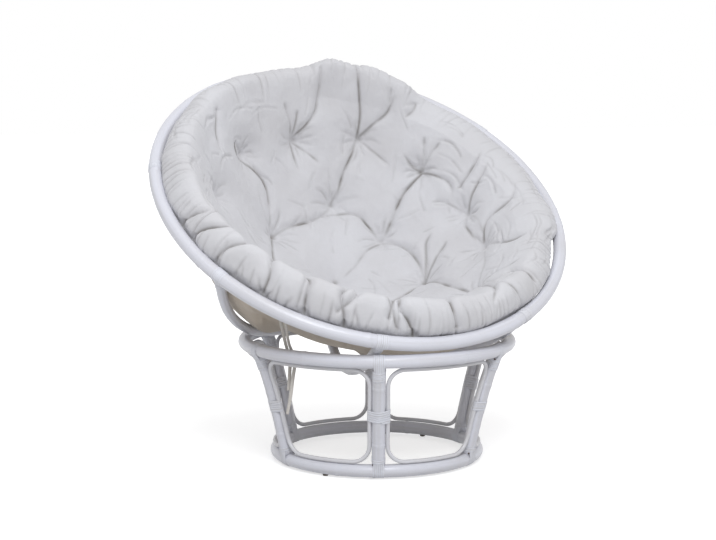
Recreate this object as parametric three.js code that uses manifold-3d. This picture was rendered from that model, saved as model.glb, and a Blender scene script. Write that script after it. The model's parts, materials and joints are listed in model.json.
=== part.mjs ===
// Papasan chair: a deep round bowl of bent rattan poles that leans forward on a round six-legged
// stand, with one thick tufted cushion in the bowl.
// Millimetres and degrees, +Z up. The sitter faces -Y. Azimuths are counted from -Y towards +X.

import * as THREE from 'three';
import { mergeVertices } from 'three/addons/utils/BufferGeometryUtils.js';
import Module from 'manifold-3d';

const wasm = await Module();
wasm.setup();

// Poles, cane and binding strip
const standPoleRadius = 16.5;
const rimPoleRadius = 17;
const ribPoleRadius = 13;
const hoopPoleRadius = 13;
const caneRadius = 5.2;
const stripWidth = 4.4;
const stripThickness = 0.9;
const turnSpacing = 0.6;
const weldDepth = 0.3;

// Clearances
const seatGap = 0.3;
const bowlGap = 3.3;
const rimSeatGap = 4.5;

// Stand
const topRingRadius = 337;
const topRingHeight = 300;
const bottomRingRadius = 257;
const legCount = 6;
const firstLegAzimuth = -24;
const legFootShares = [0.24, 0.3];
const legHeadShares = [0.51, 0.66];
const caneCornerRadius = 42;
const glideRadius = 7;
const glideHeight = 4.5;
const glideEdge = 1.2;
const glideAzimuths = [-54, 66, 126, 150, 221];

// Bowl
const rimRadius = 535;
const bowlRadiusShare = 1.043;
const lowerHoopRadius = 165;
const ribOverhang = 30;
const ribCount = 8;
const firstRibAzimuth = 30;

// Bindings
const strapHalfAngle = 55;
const wrapStart = 7;
const strapTuck = 2.6;
const tangentShare = 0.75;
const ringWrapTurns = 3;
const middleWrapTurns = 4;
const middleWrapHeight = 158;

// Cushion
const cushionThickness = 118;
const rollRise = 62;
const rollInset = 11;
const rollSetback = 31;
const rollTuck = 26;
const rollShoulder = 16;
const humpRise = 20;
const humpAzimuth = 163;
const humpHalfAngle = 50;
const rimRelief = 4.6;
const rimReliefFrom = 203;
const rimReliefTo = 140;
const underPolar = 64;
const bandBulgeShares = [[0.27, 0.42], [0.55, 0.76], [0.8, 0.96]];
const tuftDepth = 34;
const tuftSpread = 62;
const pleatDepth = 7;
const innerTuftShare = 0.3832;
const outerTuftShare = 0.6692;
const innerTuftAzimuth = 55;
const outerTuftAzimuth = 10;
const innerTuftCount = 6;
const outerTuftCount = 12;

// Tie tape: its two strands hang from the cushion's underside inside the top ring. The points
// of each route were chosen by hand, counted from the stand's axis.
const tapeRadius = 2.6;
const tapeRoots = [[62.8, -40.4], [63.3, -39.6]];
const tapeLead = 10;
const tapeRoutes = [
  [[-278, -114, 315], [-276, -113, 285], [-277, -112, 250], [-280, -112, 209]],
  [[-277, -124, 315], [-268, -125, 280], [-274, -125, 240], [-283, -121, 190], [-293, -118, 150]],
];

// Mesh fineness
const poleSides = 8;
const caneSides = 6;
const legSteps = 8;
const ribSteps = 9;
const topRingSegments = 42;
const bottomRingSegments = 30;
const rimSegments = 56;
const hoopSegments = 24;
const glideSegments = 8;
const cushionSegments = 36;
const underRows = 4;
const reliefRows = 4;
const seatRows = 7;
const tapeSteps = 14;

const radians = THREE.MathUtils.degToRad;
const sideAngle = (2 * Math.PI) / poleSides;

// Materials
const paintedPole = new THREE.MeshStandardMaterial({ color: 0xd9dbe2, roughness: 0.45, metalness: 0 });
const paintedCane = new THREE.MeshStandardMaterial({ color: 0xcfcfd3, roughness: 0.5, metalness: 0 });
const bindingSkin = new THREE.MeshStandardMaterial({ color: 0xcac8c8, roughness: 0.55, metalness: 0 });
const cushionCotton = new THREE.MeshStandardMaterial({ color: 0xd5d5da, roughness: 0.95, metalness: 0 });
const tapeCotton = new THREE.MeshStandardMaterial({ color: 0xc9c7c2, roughness: 0.95, metalness: 0 });
const glidePlastic = new THREE.MeshStandardMaterial({ color: 0x5b564f, roughness: 0.5, metalness: 0 });

// Distance from a section's centre to its flats, and back from flats to corners.
const flatOf = (radius) => radius * Math.cos(sideAngle / 2);
const cornerOf = (flat) => flat / Math.cos(sideAngle / 2);

// A section has flats, not corners, on its axes, so that what touches it lies flat.
function sectionPoints(radius, turn = 0) {
  const points = [];
  for (let i = 0; i < poleSides; i += 1) {
    const angle = turn + (i + 1 / 2) * sideAngle;
    points.push(new THREE.Vector2(radius * Math.cos(angle), radius * Math.sin(angle)));
  }
  return points;
}

// Joins rings of points into one closed body, capped at both ends unless it closes on itself.
function loft(rings, closesOnItself = false) {
  const count = rings[0].length;
  const positions = rings.flat().flatMap((point) => [point.x, point.y, point.z]);
  const index = [];
  const quad = (a, b, c, d) => index.push(a, b, c, a, c, d);
  const last = closesOnItself ? rings.length : rings.length - 1;
  for (let r = 0; r < last; r += 1) {
    const here = r * count;
    const next = ((r + 1) % rings.length) * count;
    for (let i = 0; i < count; i += 1) {
      const j = (i + 1) % count;
      quad(here + i, here + j, next + j, next + i);
    }
  }
  if (!closesOnItself) {
    const end = (rings.length - 1) * count;
    for (let i = 0; i < count / 2 - 1; i += 1) {
      const j = count - 1 - i;
      quad(i, j, j - 1, i + 1);
      quad(end + i, end + i + 1, end + j - 1, end + j);
    }
  }
  const geometry = new THREE.BufferGeometry();
  geometry.setAttribute('position', new THREE.Float32BufferAttribute(positions, 3));
  geometry.setIndex(index);
  return outward(geometry);
}

// Keeps only positions, welds shared corners and turns the faces outward.
function outward(source) {
  const bare = new THREE.BufferGeometry();
  bare.setAttribute('position', source.getAttribute('position').clone());
  if (source.index) bare.setIndex(source.index.clone());
  const geometry = mergeVertices(bare, 0.0001);
  const place = geometry.getAttribute('position');
  const index = geometry.index.array;
  const corners = [new THREE.Vector3(), new THREE.Vector3(), new THREE.Vector3()];
  const kept = [];
  let volume = 0;
  for (let i = 0; i < index.length; i += 3) {
    const [a, b, c] = index.slice(i, i + 3);
    if (a !== b && b !== c && c !== a) {
      kept.push(a, b, c);
      [a, b, c].forEach((n, k) => corners[k].fromBufferAttribute(place, n));
      volume += corners[0].dot(corners[1].cross(corners[2]));
    }
  }
  if (volume < 0) kept.reverse();
  geometry.setIndex(kept);
  return geometry;
}

function toSolid(geometry) {
  const vertProperties = new Float32Array(geometry.getAttribute('position').array);
  const triVerts = new Uint32Array(geometry.index.array);
  return new wasm.Manifold(new wasm.Mesh({ numProp: 3, vertProperties, triVerts }));
}

function fromSolid(solid) {
  const mesh = solid.getMesh();
  const geometry = new THREE.BufferGeometry();
  geometry.setAttribute('position', new THREE.Float32BufferAttribute(mesh.vertProperties, 3));
  geometry.setIndex(new THREE.Uint32BufferAttribute(mesh.triVerts, 1));
  return geometry;
}

// A pole along a curve that lies in the X-Z plane. place() gives a point at a distance along the
// pole, so far out from its centre-line in that plane and so far to the side of it.
class Pole {
  constructor(curve, radius, steps) {
    this.radius = radius;
    this.curve = curve;
    this.steps = steps;
    this.length = curve.getLength();
    this.flat = flatOf(radius);
    this.nodes = [];
    for (let i = 0; i <= steps; i += 1) {
      const centre = curve.getPointAt(i / steps);
      const tangent = curve.getTangentAt(i / steps);
      this.nodes.push({ centre, out: new THREE.Vector3(tangent.z, 0, -tangent.x) });
    }
  }

  place(distance, out, aside) {
    const where = (distance / this.length) * this.steps;
    const i = Math.min(Math.max(Math.floor(where), 0), this.steps - 1);
    const [low, high] = [this.nodes[i], this.nodes[i + 1]];
    const centre = low.centre.clone().lerp(high.centre, where - i);
    const direction = low.out.clone().lerp(high.out, where - i);
    return centre.addScaledVector(direction, out).add(new THREE.Vector3(0, aside, 0));
  }

  // Distances of the pole's bends, from the nearer end, that lie between two others.
  bends(from, to) {
    const step = this.length / this.steps;
    const inside = [];
    for (let i = 1; i * step < to; i += 1) {
      if (i * step > from) inside.push(i * step);
    }
    return inside;
  }

  geometry() {
    const shape = new THREE.Shape(sectionPoints(this.radius));
    return outward(new THREE.ExtrudeGeometry(shape, { steps: this.steps, extrudePath: this.curve }));
  }
}

// The arc of a rib: a meridian of the bowl's sphere, from a polar angle below to one above.
class Meridian extends THREE.Curve {
  constructor(radius, low, high) {
    super();
    Object.assign(this, { radius, low, high });
  }

  getPoint(t, target = new THREE.Vector3()) {
    const polar = THREE.MathUtils.lerp(this.low, this.high, t);
    return target.set(this.radius * Math.sin(polar), 0, -this.radius * Math.cos(polar));
  }
}

// A hoop round the Z axis. Its flat segments have their middles at the given azimuth.
function hoop(radius, poleRadius, height, segments, azimuth, sectionTurn = 0) {
  const profile = sectionPoints(poleRadius, sectionTurn);
  profile.forEach((point) => point.add(new THREE.Vector2(radius, height)));
  profile.push(profile[0].clone());
  const start = radians(azimuth) + Math.PI / segments;
  const geometry = new THREE.LatheGeometry(profile, segments, start, 2 * Math.PI);
  return outward(geometry.rotateX(Math.PI / 2));
}

const atSegmentMiddle = (radius, segments) => radius * Math.cos(Math.PI / segments);

// The corners of one turn round a pole, its flats so far from the pole's centre.
function roundTurn(flat) {
  return sectionPoints(cornerOf(flat));
}

// Moves the corners of a convex turn outward, each side by the same distance.
function grownTurn(corners, distance) {
  return corners.map((corner, i) => {
    const before = corners[(i + corners.length - 1) % corners.length];
    const after = corners[(i + 1) % corners.length];
    const a = corner.clone().sub(before).normalize();
    const b = after.clone().sub(corner).normalize();
    const normalA = new THREE.Vector2(a.y, -a.x);
    const normalB = new THREE.Vector2(b.y, -b.x);
    const bisector = normalA.clone().add(normalB);
    const scale = distance / (1 + normalA.dot(normalB));
    return corner.clone().addScaledVector(bisector, scale);
  });
}

// One strip wound round a pole as an unbroken helix, side by side with its own turns.
function windingRings(pole, start, turns, corners) {
  const outer = grownTurn(corners, stripThickness);
  const pitch = stripWidth + turnSpacing;
  const rings = [];
  for (let i = 0; i <= turns * corners.length; i += 1) {
    const near = start + (pitch * i) / corners.length;
    const far = near + stripWidth;
    const inside = corners[i % corners.length];
    const outside = outer[i % corners.length];
    rings.push([
      pole.place(near, inside.x, inside.y),
      pole.place(far, inside.x, inside.y),
      pole.place(far, outside.x, outside.y),
      pole.place(near, outside.x, outside.y),
    ]);
  }
  return rings;
}

const windingLength = (turns) => (turns + 1) * (stripWidth + turnSpacing);

// Least distance from any point of a winding to a point of its other turns.
function leastGap(rings, perTurn) {
  let least = Infinity;
  for (let i = 0; i < rings.length; i += 1) {
    for (let j = i + perTurn; j < rings.length; j += 1) {
      for (const a of rings[i]) {
        for (const b of rings[j]) least = Math.min(least, a.distanceTo(b));
      }
    }
  }
  return least;
}

// The strips that pass over a ring and down both faces of the pole that butts against it.
// overAngle is the direction, in the pole's plane, from the ring's centre away from the pole.
function strapRings(pole, atEnd, ring, overAngle, reach) {
  const half = radians(strapHalfAngle);
  const columns = [-half, -sideAngle / 2, sideAngle / 2, half];
  const near = ring.flat + wrapStart;
  const distance = (along) => (atEnd ? pole.length - along : along);
  const radiusAt = (flat, angle) => {
    const nearest = Math.round(angle / sideAngle) * sideAngle;
    return flat / Math.cos(angle - nearest);
  };
  const centre = new THREE.Vector3(ring.radius, 0, ring.height);
  const toPole = pole.place(distance(near), 0, 0).sub(centre).normalize();
  const outOfPole = pole.place(distance(near), 1, 0).sub(pole.place(distance(near), 0, 0));
  const poleRow = (along, face) => {
    const points = (rise) => columns.map((angle) => {
      const radius = radiusAt(pole.flat + rise, angle);
      return pole.place(distance(along), face * radius * Math.cos(angle), radius * Math.sin(angle));
    });
    return [...points(seatGap), ...points(seatGap + stripThickness).reverse()];
  };
  const ringRow = (angle) => {
    const points = (rise) => columns.map((column) => {
      const poleRadius = radiusAt(pole.flat + rise, column);
      const radius = cornerOf(ring.flat + rise);
      const point = new THREE.Vector3(radius * Math.cos(angle), 0, radius * Math.sin(angle));
      const face = Math.sign(point.dot(outOfPole));
      const beyond = poleRadius * Math.cos(column) - face * point.dot(outOfPole);
      if (point.dot(toPole) > 0 && beyond > 0) point.addScaledVector(outOfPole, face * beyond);
      point.add(centre);
      point.y = radiusAt(pole.flat + seatGap, column) * Math.sin(column);
      return point;
    });
    return [...points(seatGap), ...points(seatGap + stripThickness).reverse()];
  };
  const facesPole = (angle) => toPole.x * Math.cos(angle) + toPole.z * Math.sin(angle);
  const turns = [-5, -3, -1, 1, 3, 5]
    .map((half) => overAngle + (half * sideAngle) / 2)
    .filter((angle) => facesPole(angle) < tangentShare);
  const outFirst = Math.cos(turns[0]) > Math.cos(turns[turns.length - 1]) ? 1 : -1;
  const alongPole = [near, ...pole.bends(near, reach), reach];
  return [
    ...alongPole.map((along) => poleRow(along, outFirst)).reverse(),
    ...turns.map(ringRow),
    ...alongPole.map((along) => poleRow(along, -outFirst)),
  ];
}

// A lashing: straps over the ring, held to the pole by a winding that is one body with them.
function lashing(pole, atEnd, ring, overAngle) {
  const near = ring.flat + wrapStart;
  const far = near + windingLength(ringWrapTurns);
  const straps = loft(strapRings(pole, atEnd, ring, overAngle, near + strapTuck));
  const corners = roundTurn(pole.flat + seatGap + stripThickness - weldDepth);
  const start = atEnd ? pole.length - far : near;
  const rings = windingRings(pole, start, ringWrapTurns, corners);
  const body = toSolid(straps).add(toSolid(loft(rings)));
  return { geometry: fromSolid(body), gap: leastGap(rings, poleSides) };
}

// A pole cut to sit over a ring of the same section.
function coped(solid, ring) {
  const shape = new THREE.Shape(sectionPoints(cornerOf(ring.flat + seatGap)));
  const depth = 4 * standPoleRadius;
  const cutter = new THREE.ExtrudeGeometry(shape, { depth, bevelEnabled: false });
  cutter.rotateX(Math.PI / 2);
  cutter.translate(ring.radius, depth / 2, ring.height);
  return solid.subtract(toSolid(outward(cutter)));
}

const chair = new THREE.Group();
const stand = new THREE.Group();
const bowl = new THREE.Group();
chair.add(stand, bowl);

function addMesh(group, name, geometry, material, azimuth) {
  const mesh = new THREE.Mesh(geometry, material);
  mesh.name = name;
  if (azimuth !== undefined) mesh.rotation.z = radians(azimuth) - Math.PI / 2;
  group.add(mesh);
  return mesh;
}

// Stand rings
const standFlat = flatOf(standPoleRadius);
const bottomRingHeight = glideHeight + seatGap + standFlat;
const topRing = {
  radius: atSegmentMiddle(topRingRadius, topRingSegments),
  height: topRingHeight,
  flat: standFlat,
};
const bottomRing = {
  radius: atSegmentMiddle(bottomRingRadius, bottomRingSegments),
  height: bottomRingHeight,
  flat: standFlat,
};
addMesh(stand, 'stand_top_ring',
  hoop(topRingRadius, standPoleRadius, topRingHeight, topRingSegments, firstLegAzimuth), paintedPole);
addMesh(stand, 'stand_bottom_ring',
  hoop(bottomRingRadius, standPoleRadius, bottomRingHeight, bottomRingSegments, firstLegAzimuth),
  paintedPole);

// Legs: from the bottom ring's centre-line to the top ring's, cut to sit over both
function legCurve() {
  const run = topRing.radius - bottomRing.radius;
  const rise = topRing.height - bottomRing.height;
  const between = ([out, up]) =>
    new THREE.Vector3(bottomRing.radius + run * out, 0, bottomRing.height + rise * up);
  return new THREE.CubicBezierCurve3(
    between([0, 0]), between(legFootShares), between(legHeadShares), between([1, 1]));
}
const leg = new Pole(legCurve(), standPoleRadius, legSteps);
const legGeometry = fromSolid(coped(coped(toSolid(leg.geometry()), topRing), bottomRing));

// A leg's distance out from the stand's axis at a height
function legRadiusAt(height) {
  let [low, high] = [0, leg.length];
  for (let i = 0; i < 40; i += 1) {
    const middle = (low + high) / 2;
    if (leg.place(middle, 0, 0).z < height) low = middle;
    else high = middle;
  }
  return { distance: low, radius: leg.place(low, 0, 0).x };
}

// The strip round a leg and the cane on both sides of it
const caneAside = standFlat + seatGap + caneRadius;
function middleTurn() {
  const front = standFlat + seatGap;
  const frontAside = front * Math.tan(sideAngle / 2);
  const side = caneAside + caneRadius + seatGap;
  const sideOut = caneRadius * Math.sin(sideAngle);
  return [
    [front, frontAside], [sideOut, side], [-sideOut, side], [-front, frontAside],
    [-front, -frontAside], [-sideOut, -side], [sideOut, -side], [front, -frontAside],
  ].map(([x, y]) => new THREE.Vector2(x, y));
}

const topLashing = lashing(leg, true, topRing, Math.PI / 2);
const bottomLashing = lashing(leg, false, bottomRing, -Math.PI / 2);
const middleStart = legRadiusAt(middleWrapHeight).distance - windingLength(middleWrapTurns) / 2;
const middleRings = windingRings(leg, middleStart, middleWrapTurns, middleTurn());
const middleGap = leastGap(middleRings, poleSides);
const middleGeometry = loft(middleRings);

// Cane loop: a round-cornered frame in the bay between two legs, bent to the stand's curve
function caneLoopRings() {
  const top = topRing.height - topRing.flat - seatGap - caneRadius;
  const bottom = bottomRing.height + bottomRing.flat + seatGap + caneRadius;
  const halfBay = Math.PI / legCount;
  const halfWidthAt = (height) => {
    const { radius } = legRadiusAt(height);
    return radius * (halfBay - Math.asin(caneAside / radius));
  };
  const corner = caneCornerRadius;
  const outline = [];
  const cornerSteps = 3;
  const addCorner = (side, level, from) => {
    const centreHeight = level === top ? top - corner : bottom + corner;
    for (let i = 0; i <= cornerSteps; i += 1) {
      const angle = from + ((Math.PI / 2) * i) / cornerSteps;
      const height = centreHeight + corner * Math.sin(angle);
      const edge = side * (halfWidthAt(height) - corner);
      outline.push([edge + corner * Math.cos(angle), height]);
    }
  };
  const addRun = (from, to, steps) => {
    for (let i = 1; i < steps; i += 1) {
      outline.push([from[0] + ((to[0] - from[0]) * i) / steps, from[1] + ((to[1] - from[1]) * i) / steps]);
    }
  };
  const addSide = (side, from, to, steps) => {
    for (let i = 1; i < steps; i += 1) {
      const height = from + ((to - from) * i) / steps;
      outline.push([side * halfWidthAt(height), height]);
    }
  };
  const topEdge = halfWidthAt(top) - corner;
  const bottomEdge = halfWidthAt(bottom) - corner;
  addCorner(1, top, 0);
  addRun([topEdge, top], [-topEdge, top], 4);
  addCorner(-1, top, Math.PI / 2);
  addSide(-1, top - corner, bottom + corner, 3);
  addCorner(-1, bottom, Math.PI);
  addRun([-bottomEdge, bottom], [bottomEdge, bottom], 4);
  addCorner(1, bottom, (3 * Math.PI) / 2);
  addSide(1, bottom + corner, top - corner, 3);
  const centres = outline.map(([across, height]) => {
    const { radius } = legRadiusAt(height);
    const angle = across / radius;
    return new THREE.Vector3(radius * Math.cos(angle), radius * Math.sin(angle), height);
  });
  return centres.map((centre, i) => {
    const before = centres[(i + centres.length - 1) % centres.length];
    const after = centres[(i + 1) % centres.length];
    const tangent = after.clone().sub(before).normalize();
    const out = new THREE.Vector3(centre.x, centre.y, 0).normalize();
    const aside = tangent.clone().cross(out).normalize();
    const front = aside.clone().cross(tangent);
    const ring = [];
    for (let s = 0; s < caneSides; s += 1) {
      const angle = ((s + 1 / 2) * 2 * Math.PI) / caneSides;
      ring.push(centre.clone()
        .addScaledVector(front, caneRadius * Math.cos(angle))
        .addScaledVector(aside, caneRadius * Math.sin(angle)));
    }
    return ring;
  });
}
const caneLoopGeometry = loft(caneLoopRings(), true);

for (let i = 0; i < legCount; i += 1) {
  const azimuth = firstLegAzimuth + (360 / legCount) * i;
  const bay = azimuth + 180 / legCount;
  addMesh(stand, `leg_${i + 1}`, legGeometry, paintedPole, azimuth);
  addMesh(stand, `leg_top_binding_${i + 1}`, topLashing.geometry, bindingSkin, azimuth);
  addMesh(stand, `leg_middle_binding_${i + 1}`, middleGeometry, bindingSkin, azimuth);
  addMesh(stand, `leg_foot_binding_${i + 1}`, bottomLashing.geometry, bindingSkin, azimuth);
  addMesh(stand, `cane_loop_${i + 1}`, caneLoopGeometry, paintedCane, bay);
}

// Glides: small domed feet under the bottom ring
function glideGeometry() {
  const profile = [
    [0, 0], [glideRadius - glideEdge, 0], [glideRadius, glideEdge], [glideRadius, glideHeight],
    [0, glideHeight],
  ].map(([x, y]) => new THREE.Vector2(x, y));
  return outward(new THREE.LatheGeometry(profile, glideSegments).rotateX(Math.PI / 2));
}
glideAzimuths.forEach((azimuth, i) => {
  const angle = radians(azimuth);
  const glide = addMesh(stand, `glide_${i + 1}`, glideGeometry(), glidePlastic);
  glide.position.set(bottomRing.radius * Math.sin(angle), -bottomRing.radius * Math.cos(angle), 0);
});

// Bowl: its own frame has the sphere's centre as origin and +Z along the bowl's axis.
const bowlRadius = rimRadius * bowlRadiusShare;
const rimPolar = Math.asin(rimRadius / bowlRadius);
const ribOuter = bowlRadius + flatOf(ribPoleRadius);
const ringReach = ribOuter + bowlGap + standFlat;
bowl.position.z = topRingHeight + Math.sqrt(ringReach ** 2 - topRingRadius ** 2);

// It leans forward until the front of its rim lies on the top ring.
const rimToRing = rimPoleRadius + standPoleRadius + rimSeatGap;
const restAngle = Math.acos(
  (ringReach ** 2 + bowlRadius ** 2 - rimToRing ** 2) / (2 * ringReach * bowlRadius));
bowl.rotation.x = rimPolar - Math.asin(topRingRadius / ringReach) - restAngle;

const rim = {
  radius: atSegmentMiddle(rimRadius, rimSegments),
  height: -bowlRadius * Math.cos(rimPolar),
  flat: flatOf(rimPoleRadius),
};
addMesh(bowl, 'rim_hoop',
  hoop(rimRadius, rimPoleRadius, rim.height, rimSegments, firstRibAzimuth), paintedPole);

const hoopPolar = Math.asin(lowerHoopRadius / bowlRadius);
const ribLow = hoopPolar - ribOverhang / bowlRadius;
const ribHigh = Math.atan2(rim.radius, -rim.height);
const ribReach = Math.hypot(rim.radius, rim.height);
const rib = new Pole(new Meridian(ribReach, ribLow, ribHigh), ribPoleRadius, ribSteps);
const ribGeometry = fromSolid(coped(toSolid(rib.geometry()), rim));
const rimLashing = lashing(rib, true, rim, Math.PI / 2);

const chordReach = ribReach * Math.cos((ribHigh - ribLow) / (2 * ribSteps));
const ribInner = chordReach - rib.flat - seatGap;
const hoopReach = ribInner - flatOf(hoopPoleRadius);
addMesh(bowl, 'lower_hoop',
  hoop(hoopReach * Math.sin(hoopPolar), hoopPoleRadius, -hoopReach * Math.cos(hoopPolar),
    hoopSegments, firstRibAzimuth, hoopPolar), paintedPole);
for (let i = 0; i < ribCount; i += 1) {
  const azimuth = firstRibAzimuth + (360 / ribCount) * i;
  addMesh(bowl, `rib_${i + 1}`, ribGeometry, paintedPole, azimuth);
  addMesh(bowl, `rim_binding_${i + 1}`, rimLashing.geometry, bindingSkin, azimuth);
}

// The rings of tufts keep their places in the bowl whatever its size.
const innerTuftRadius = rimRadius * innerTuftShare;
const outerTuftRadius = rimRadius * outerTuftShare;

// Cushion: rows of points from the middle of its underside, out to the inside of the bowl's rim,
// up over the roll and back along the top to the middle, each as distance from the bowl's axis and
// height.
function cushionRows() {
  const onSphere = (radius, polar) => [radius * Math.sin(polar), -radius * Math.cos(polar)];
  const hoopCorner = Math.max(...sectionPoints(hoopPoleRadius, hoopPolar).map(({ y }) => y));
  const floor = -hoopReach * Math.cos(hoopPolar) + hoopCorner + seatGap;
  const floorPolar = Math.acos(-floor / ribInner);
  const under = [[0, floor]];
  for (let i = 0; i <= underRows; i += 1) {
    const polar = THREE.MathUtils.lerp(floorPolar, radians(underPolar), i / underRows);
    under.push(onSphere(ribInner, polar));
  }
  for (let i = 0; i <= reliefRows; i += 1) {
    const angle = radians(THREE.MathUtils.lerp(rimReliefFrom, rimReliefTo, i / reliefRows));
    const reach = rimPoleRadius + rimRelief;
    under.push([rim.radius + reach * Math.cos(angle), rim.height + reach * Math.sin(angle)]);
  }
  const edge = rimRadius - rollInset;
  const crown = [rimRadius - rollSetback, rim.height + rollRise];
  const seatRadius = ribInner - cushionThickness;
  const seatPolar = Math.asin(outerTuftRadius / seatRadius);
  const seatEdge = onSphere(seatRadius, seatPolar);
  const top = [
    [edge, rim.height + rollTuck],
    [edge - rollShoulder / 2, crown[1] - rollShoulder],
    [THREE.MathUtils.lerp(crown[0], edge, 1 / 2), crown[1] - rollShoulder / 4],
    crown,
  ];
  for (const [across, up] of bandBulgeShares.toReversed()) {
    top.push([
      THREE.MathUtils.lerp(seatEdge[0], crown[0], across), THREE.MathUtils.lerp(seatEdge[1], crown[1], up),
    ]);
  }
  for (let i = 0; i <= seatRows; i += 1) {
    top.push(onSphere(seatRadius, seatPolar * (1 - i / seatRows)));
  }
  return { under, top };
}

// How far a point of the cushion's top is drawn in by the sewn tufts, and by the gathers that run
// from the outer tufts over the roll
function drawnIn(along, azimuth) {
  let depth = 0;
  const pull = (radius, at) => {
    const apart = Math.sqrt(
      along ** 2 + radius ** 2 - 2 * along * radius * Math.cos(radians(azimuth - at)));
    depth = Math.max(depth, tuftDepth * Math.exp(-((apart / tuftSpread) ** 2)));
  };
  pull(0, 0);
  for (let i = 0; i < innerTuftCount; i += 1) {
    pull(innerTuftRadius, innerTuftAzimuth + (360 / innerTuftCount) * i);
  }
  for (let i = 0; i < outerTuftCount; i += 1) {
    pull(outerTuftRadius, outerTuftAzimuth + (360 / outerTuftCount) * i);
  }
  const gather = (1 + Math.cos(radians(outerTuftCount * (azimuth - outerTuftAzimuth)))) / 2;
  return Math.max(depth, along > outerTuftRadius ? pleatDepth * gather : 0);
}

// How much of the hump at the back of the roll there is at an azimuth
function humpAt(azimuth) {
  const away = Math.abs(((azimuth - humpAzimuth + 540) % 360) - 180);
  return away < humpHalfAngle ? Math.cos(radians(90 * away / humpHalfAngle)) ** 2 : 0;
}

function cushionGeometry() {
  const { under, top } = cushionRows();
  const ring = (pointAt) => {
    const points = [];
    for (let i = 0; i < cushionSegments; i += 1) {
      const azimuth = outerTuftAzimuth + (360 / cushionSegments) * i;
      const [out, height] = pointAt(azimuth);
      const angle = radians(azimuth) - Math.PI / 2;
      points.push(new THREE.Vector3(out * Math.cos(angle), out * Math.sin(angle), height));
    }
    return points;
  };
  const rings = under.map((point) => ring(() => point));
  top.forEach(([out, height], i) => {
    const before = i === 0 ? under[under.length - 1] : top[i - 1];
    const after = top[i + 1] ?? [-top[i - 1][0], top[i - 1][1]];
    const along = new THREE.Vector2(after[0] - before[0], after[1] - before[1]).normalize();
    const aboveRim = Math.max((height - rim.height - rollTuck) / (rollRise - rollTuck), 0);
    rings.push(ring((azimuth) => {
      const depth = drawnIn(out, azimuth);
      const rise = humpRise * aboveRim * humpAt(azimuth);
      return [out - along.y * depth, height + along.x * depth + rise];
    }));
  });
  return loft(rings);
}
addMesh(bowl, 'cushion', cushionGeometry(), cushionCotton);

// Tie tape
chair.updateMatrixWorld(true);
tapeRoutes.forEach((route, i) => {
  const [polar, azimuth] = tapeRoots[i].map(radians);
  const rootAt = (reach) => bowl.localToWorld(new THREE.Vector3(Math.sin(polar) * Math.sin(azimuth),
    -Math.sin(polar) * Math.cos(azimuth), -Math.cos(polar)).multiplyScalar(reach));
  const points = [
    rootAt(ribInner), rootAt(ribInner + tapeLead),
    ...route.map((point) => new THREE.Vector3(...point)),
  ];
  const section = new THREE.Shape(sectionPoints(tapeRadius));
  const extrudePath = new THREE.CatmullRomCurve3(points);
  const strand = new THREE.ExtrudeGeometry(section, { steps: tapeSteps, extrudePath });
  addMesh(chair, `cushion_tie_${i + 1}`, outward(strand), tapeCotton);
});

// The object's origin is the middle of the foot of its box, measured without the tape.
const box = new THREE.Box3().setFromObject(stand, true).union(new THREE.Box3().setFromObject(bowl, true));
const middle = box.getCenter(new THREE.Vector3());
chair.position.set(-middle.x, -middle.y, -box.min.z);

console.log(`least gap of a winding to itself: ${Math.min(
  topLashing.gap, bottomLashing.gap, rimLashing.gap, middleGap).toFixed(2)} mm`);

export default chair;
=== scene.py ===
import json
import math
import random
from collections import namedtuple

import bmesh
import bpy
import numpy as np
from mathutils import Matrix, Vector, noise


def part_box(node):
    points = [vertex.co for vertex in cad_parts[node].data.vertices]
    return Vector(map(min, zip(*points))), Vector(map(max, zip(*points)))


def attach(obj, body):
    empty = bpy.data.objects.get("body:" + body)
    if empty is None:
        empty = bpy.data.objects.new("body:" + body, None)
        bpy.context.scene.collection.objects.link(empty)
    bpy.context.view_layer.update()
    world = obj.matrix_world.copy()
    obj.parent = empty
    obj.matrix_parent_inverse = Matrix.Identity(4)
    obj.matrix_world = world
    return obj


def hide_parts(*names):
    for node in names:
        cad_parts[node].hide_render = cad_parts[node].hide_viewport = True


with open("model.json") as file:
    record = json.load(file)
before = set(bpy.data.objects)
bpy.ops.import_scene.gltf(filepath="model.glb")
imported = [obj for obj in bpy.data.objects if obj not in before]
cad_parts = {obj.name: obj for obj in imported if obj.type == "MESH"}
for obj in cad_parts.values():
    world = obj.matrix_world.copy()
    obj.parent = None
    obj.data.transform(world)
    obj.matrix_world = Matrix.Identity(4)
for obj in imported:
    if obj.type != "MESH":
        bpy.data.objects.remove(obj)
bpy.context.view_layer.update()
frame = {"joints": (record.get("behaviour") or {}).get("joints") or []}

# Radii of the poles and the cane
STAND_POLE = 0.0162
RIM_POLE = 0.017
RIB_POLE = 0.0126
CANE = 0.0052

# The lashings' flat strips, and the gaps between two turns, under a strip and between two layers
STRIP_WIDTH = 0.0046
MIDDLE_STRIP = 0.0055
STRIP_THICKNESS = 0.0007
STRIP_GAP = 0.0004
LASHING_GAP = 0.0001
LAYER_GAP = 0.00005
# The gap between two poles that touch
SEAT_GAP = 0.0003

# The stand's rings, legs and glides
TOP_RING_RADIUS = 0.3365
TOP_RING_HEIGHT = 0.3
BOTTOM_RING_RADIUS = 0.2558
BOTTOM_RING_HEIGHT = 0.02005
LEG_AZIMUTHS = [-24 + 60 * i for i in range(6)]
GLIDE_AZIMUTHS = [-54, 66, 126, 150, 221]

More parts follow.
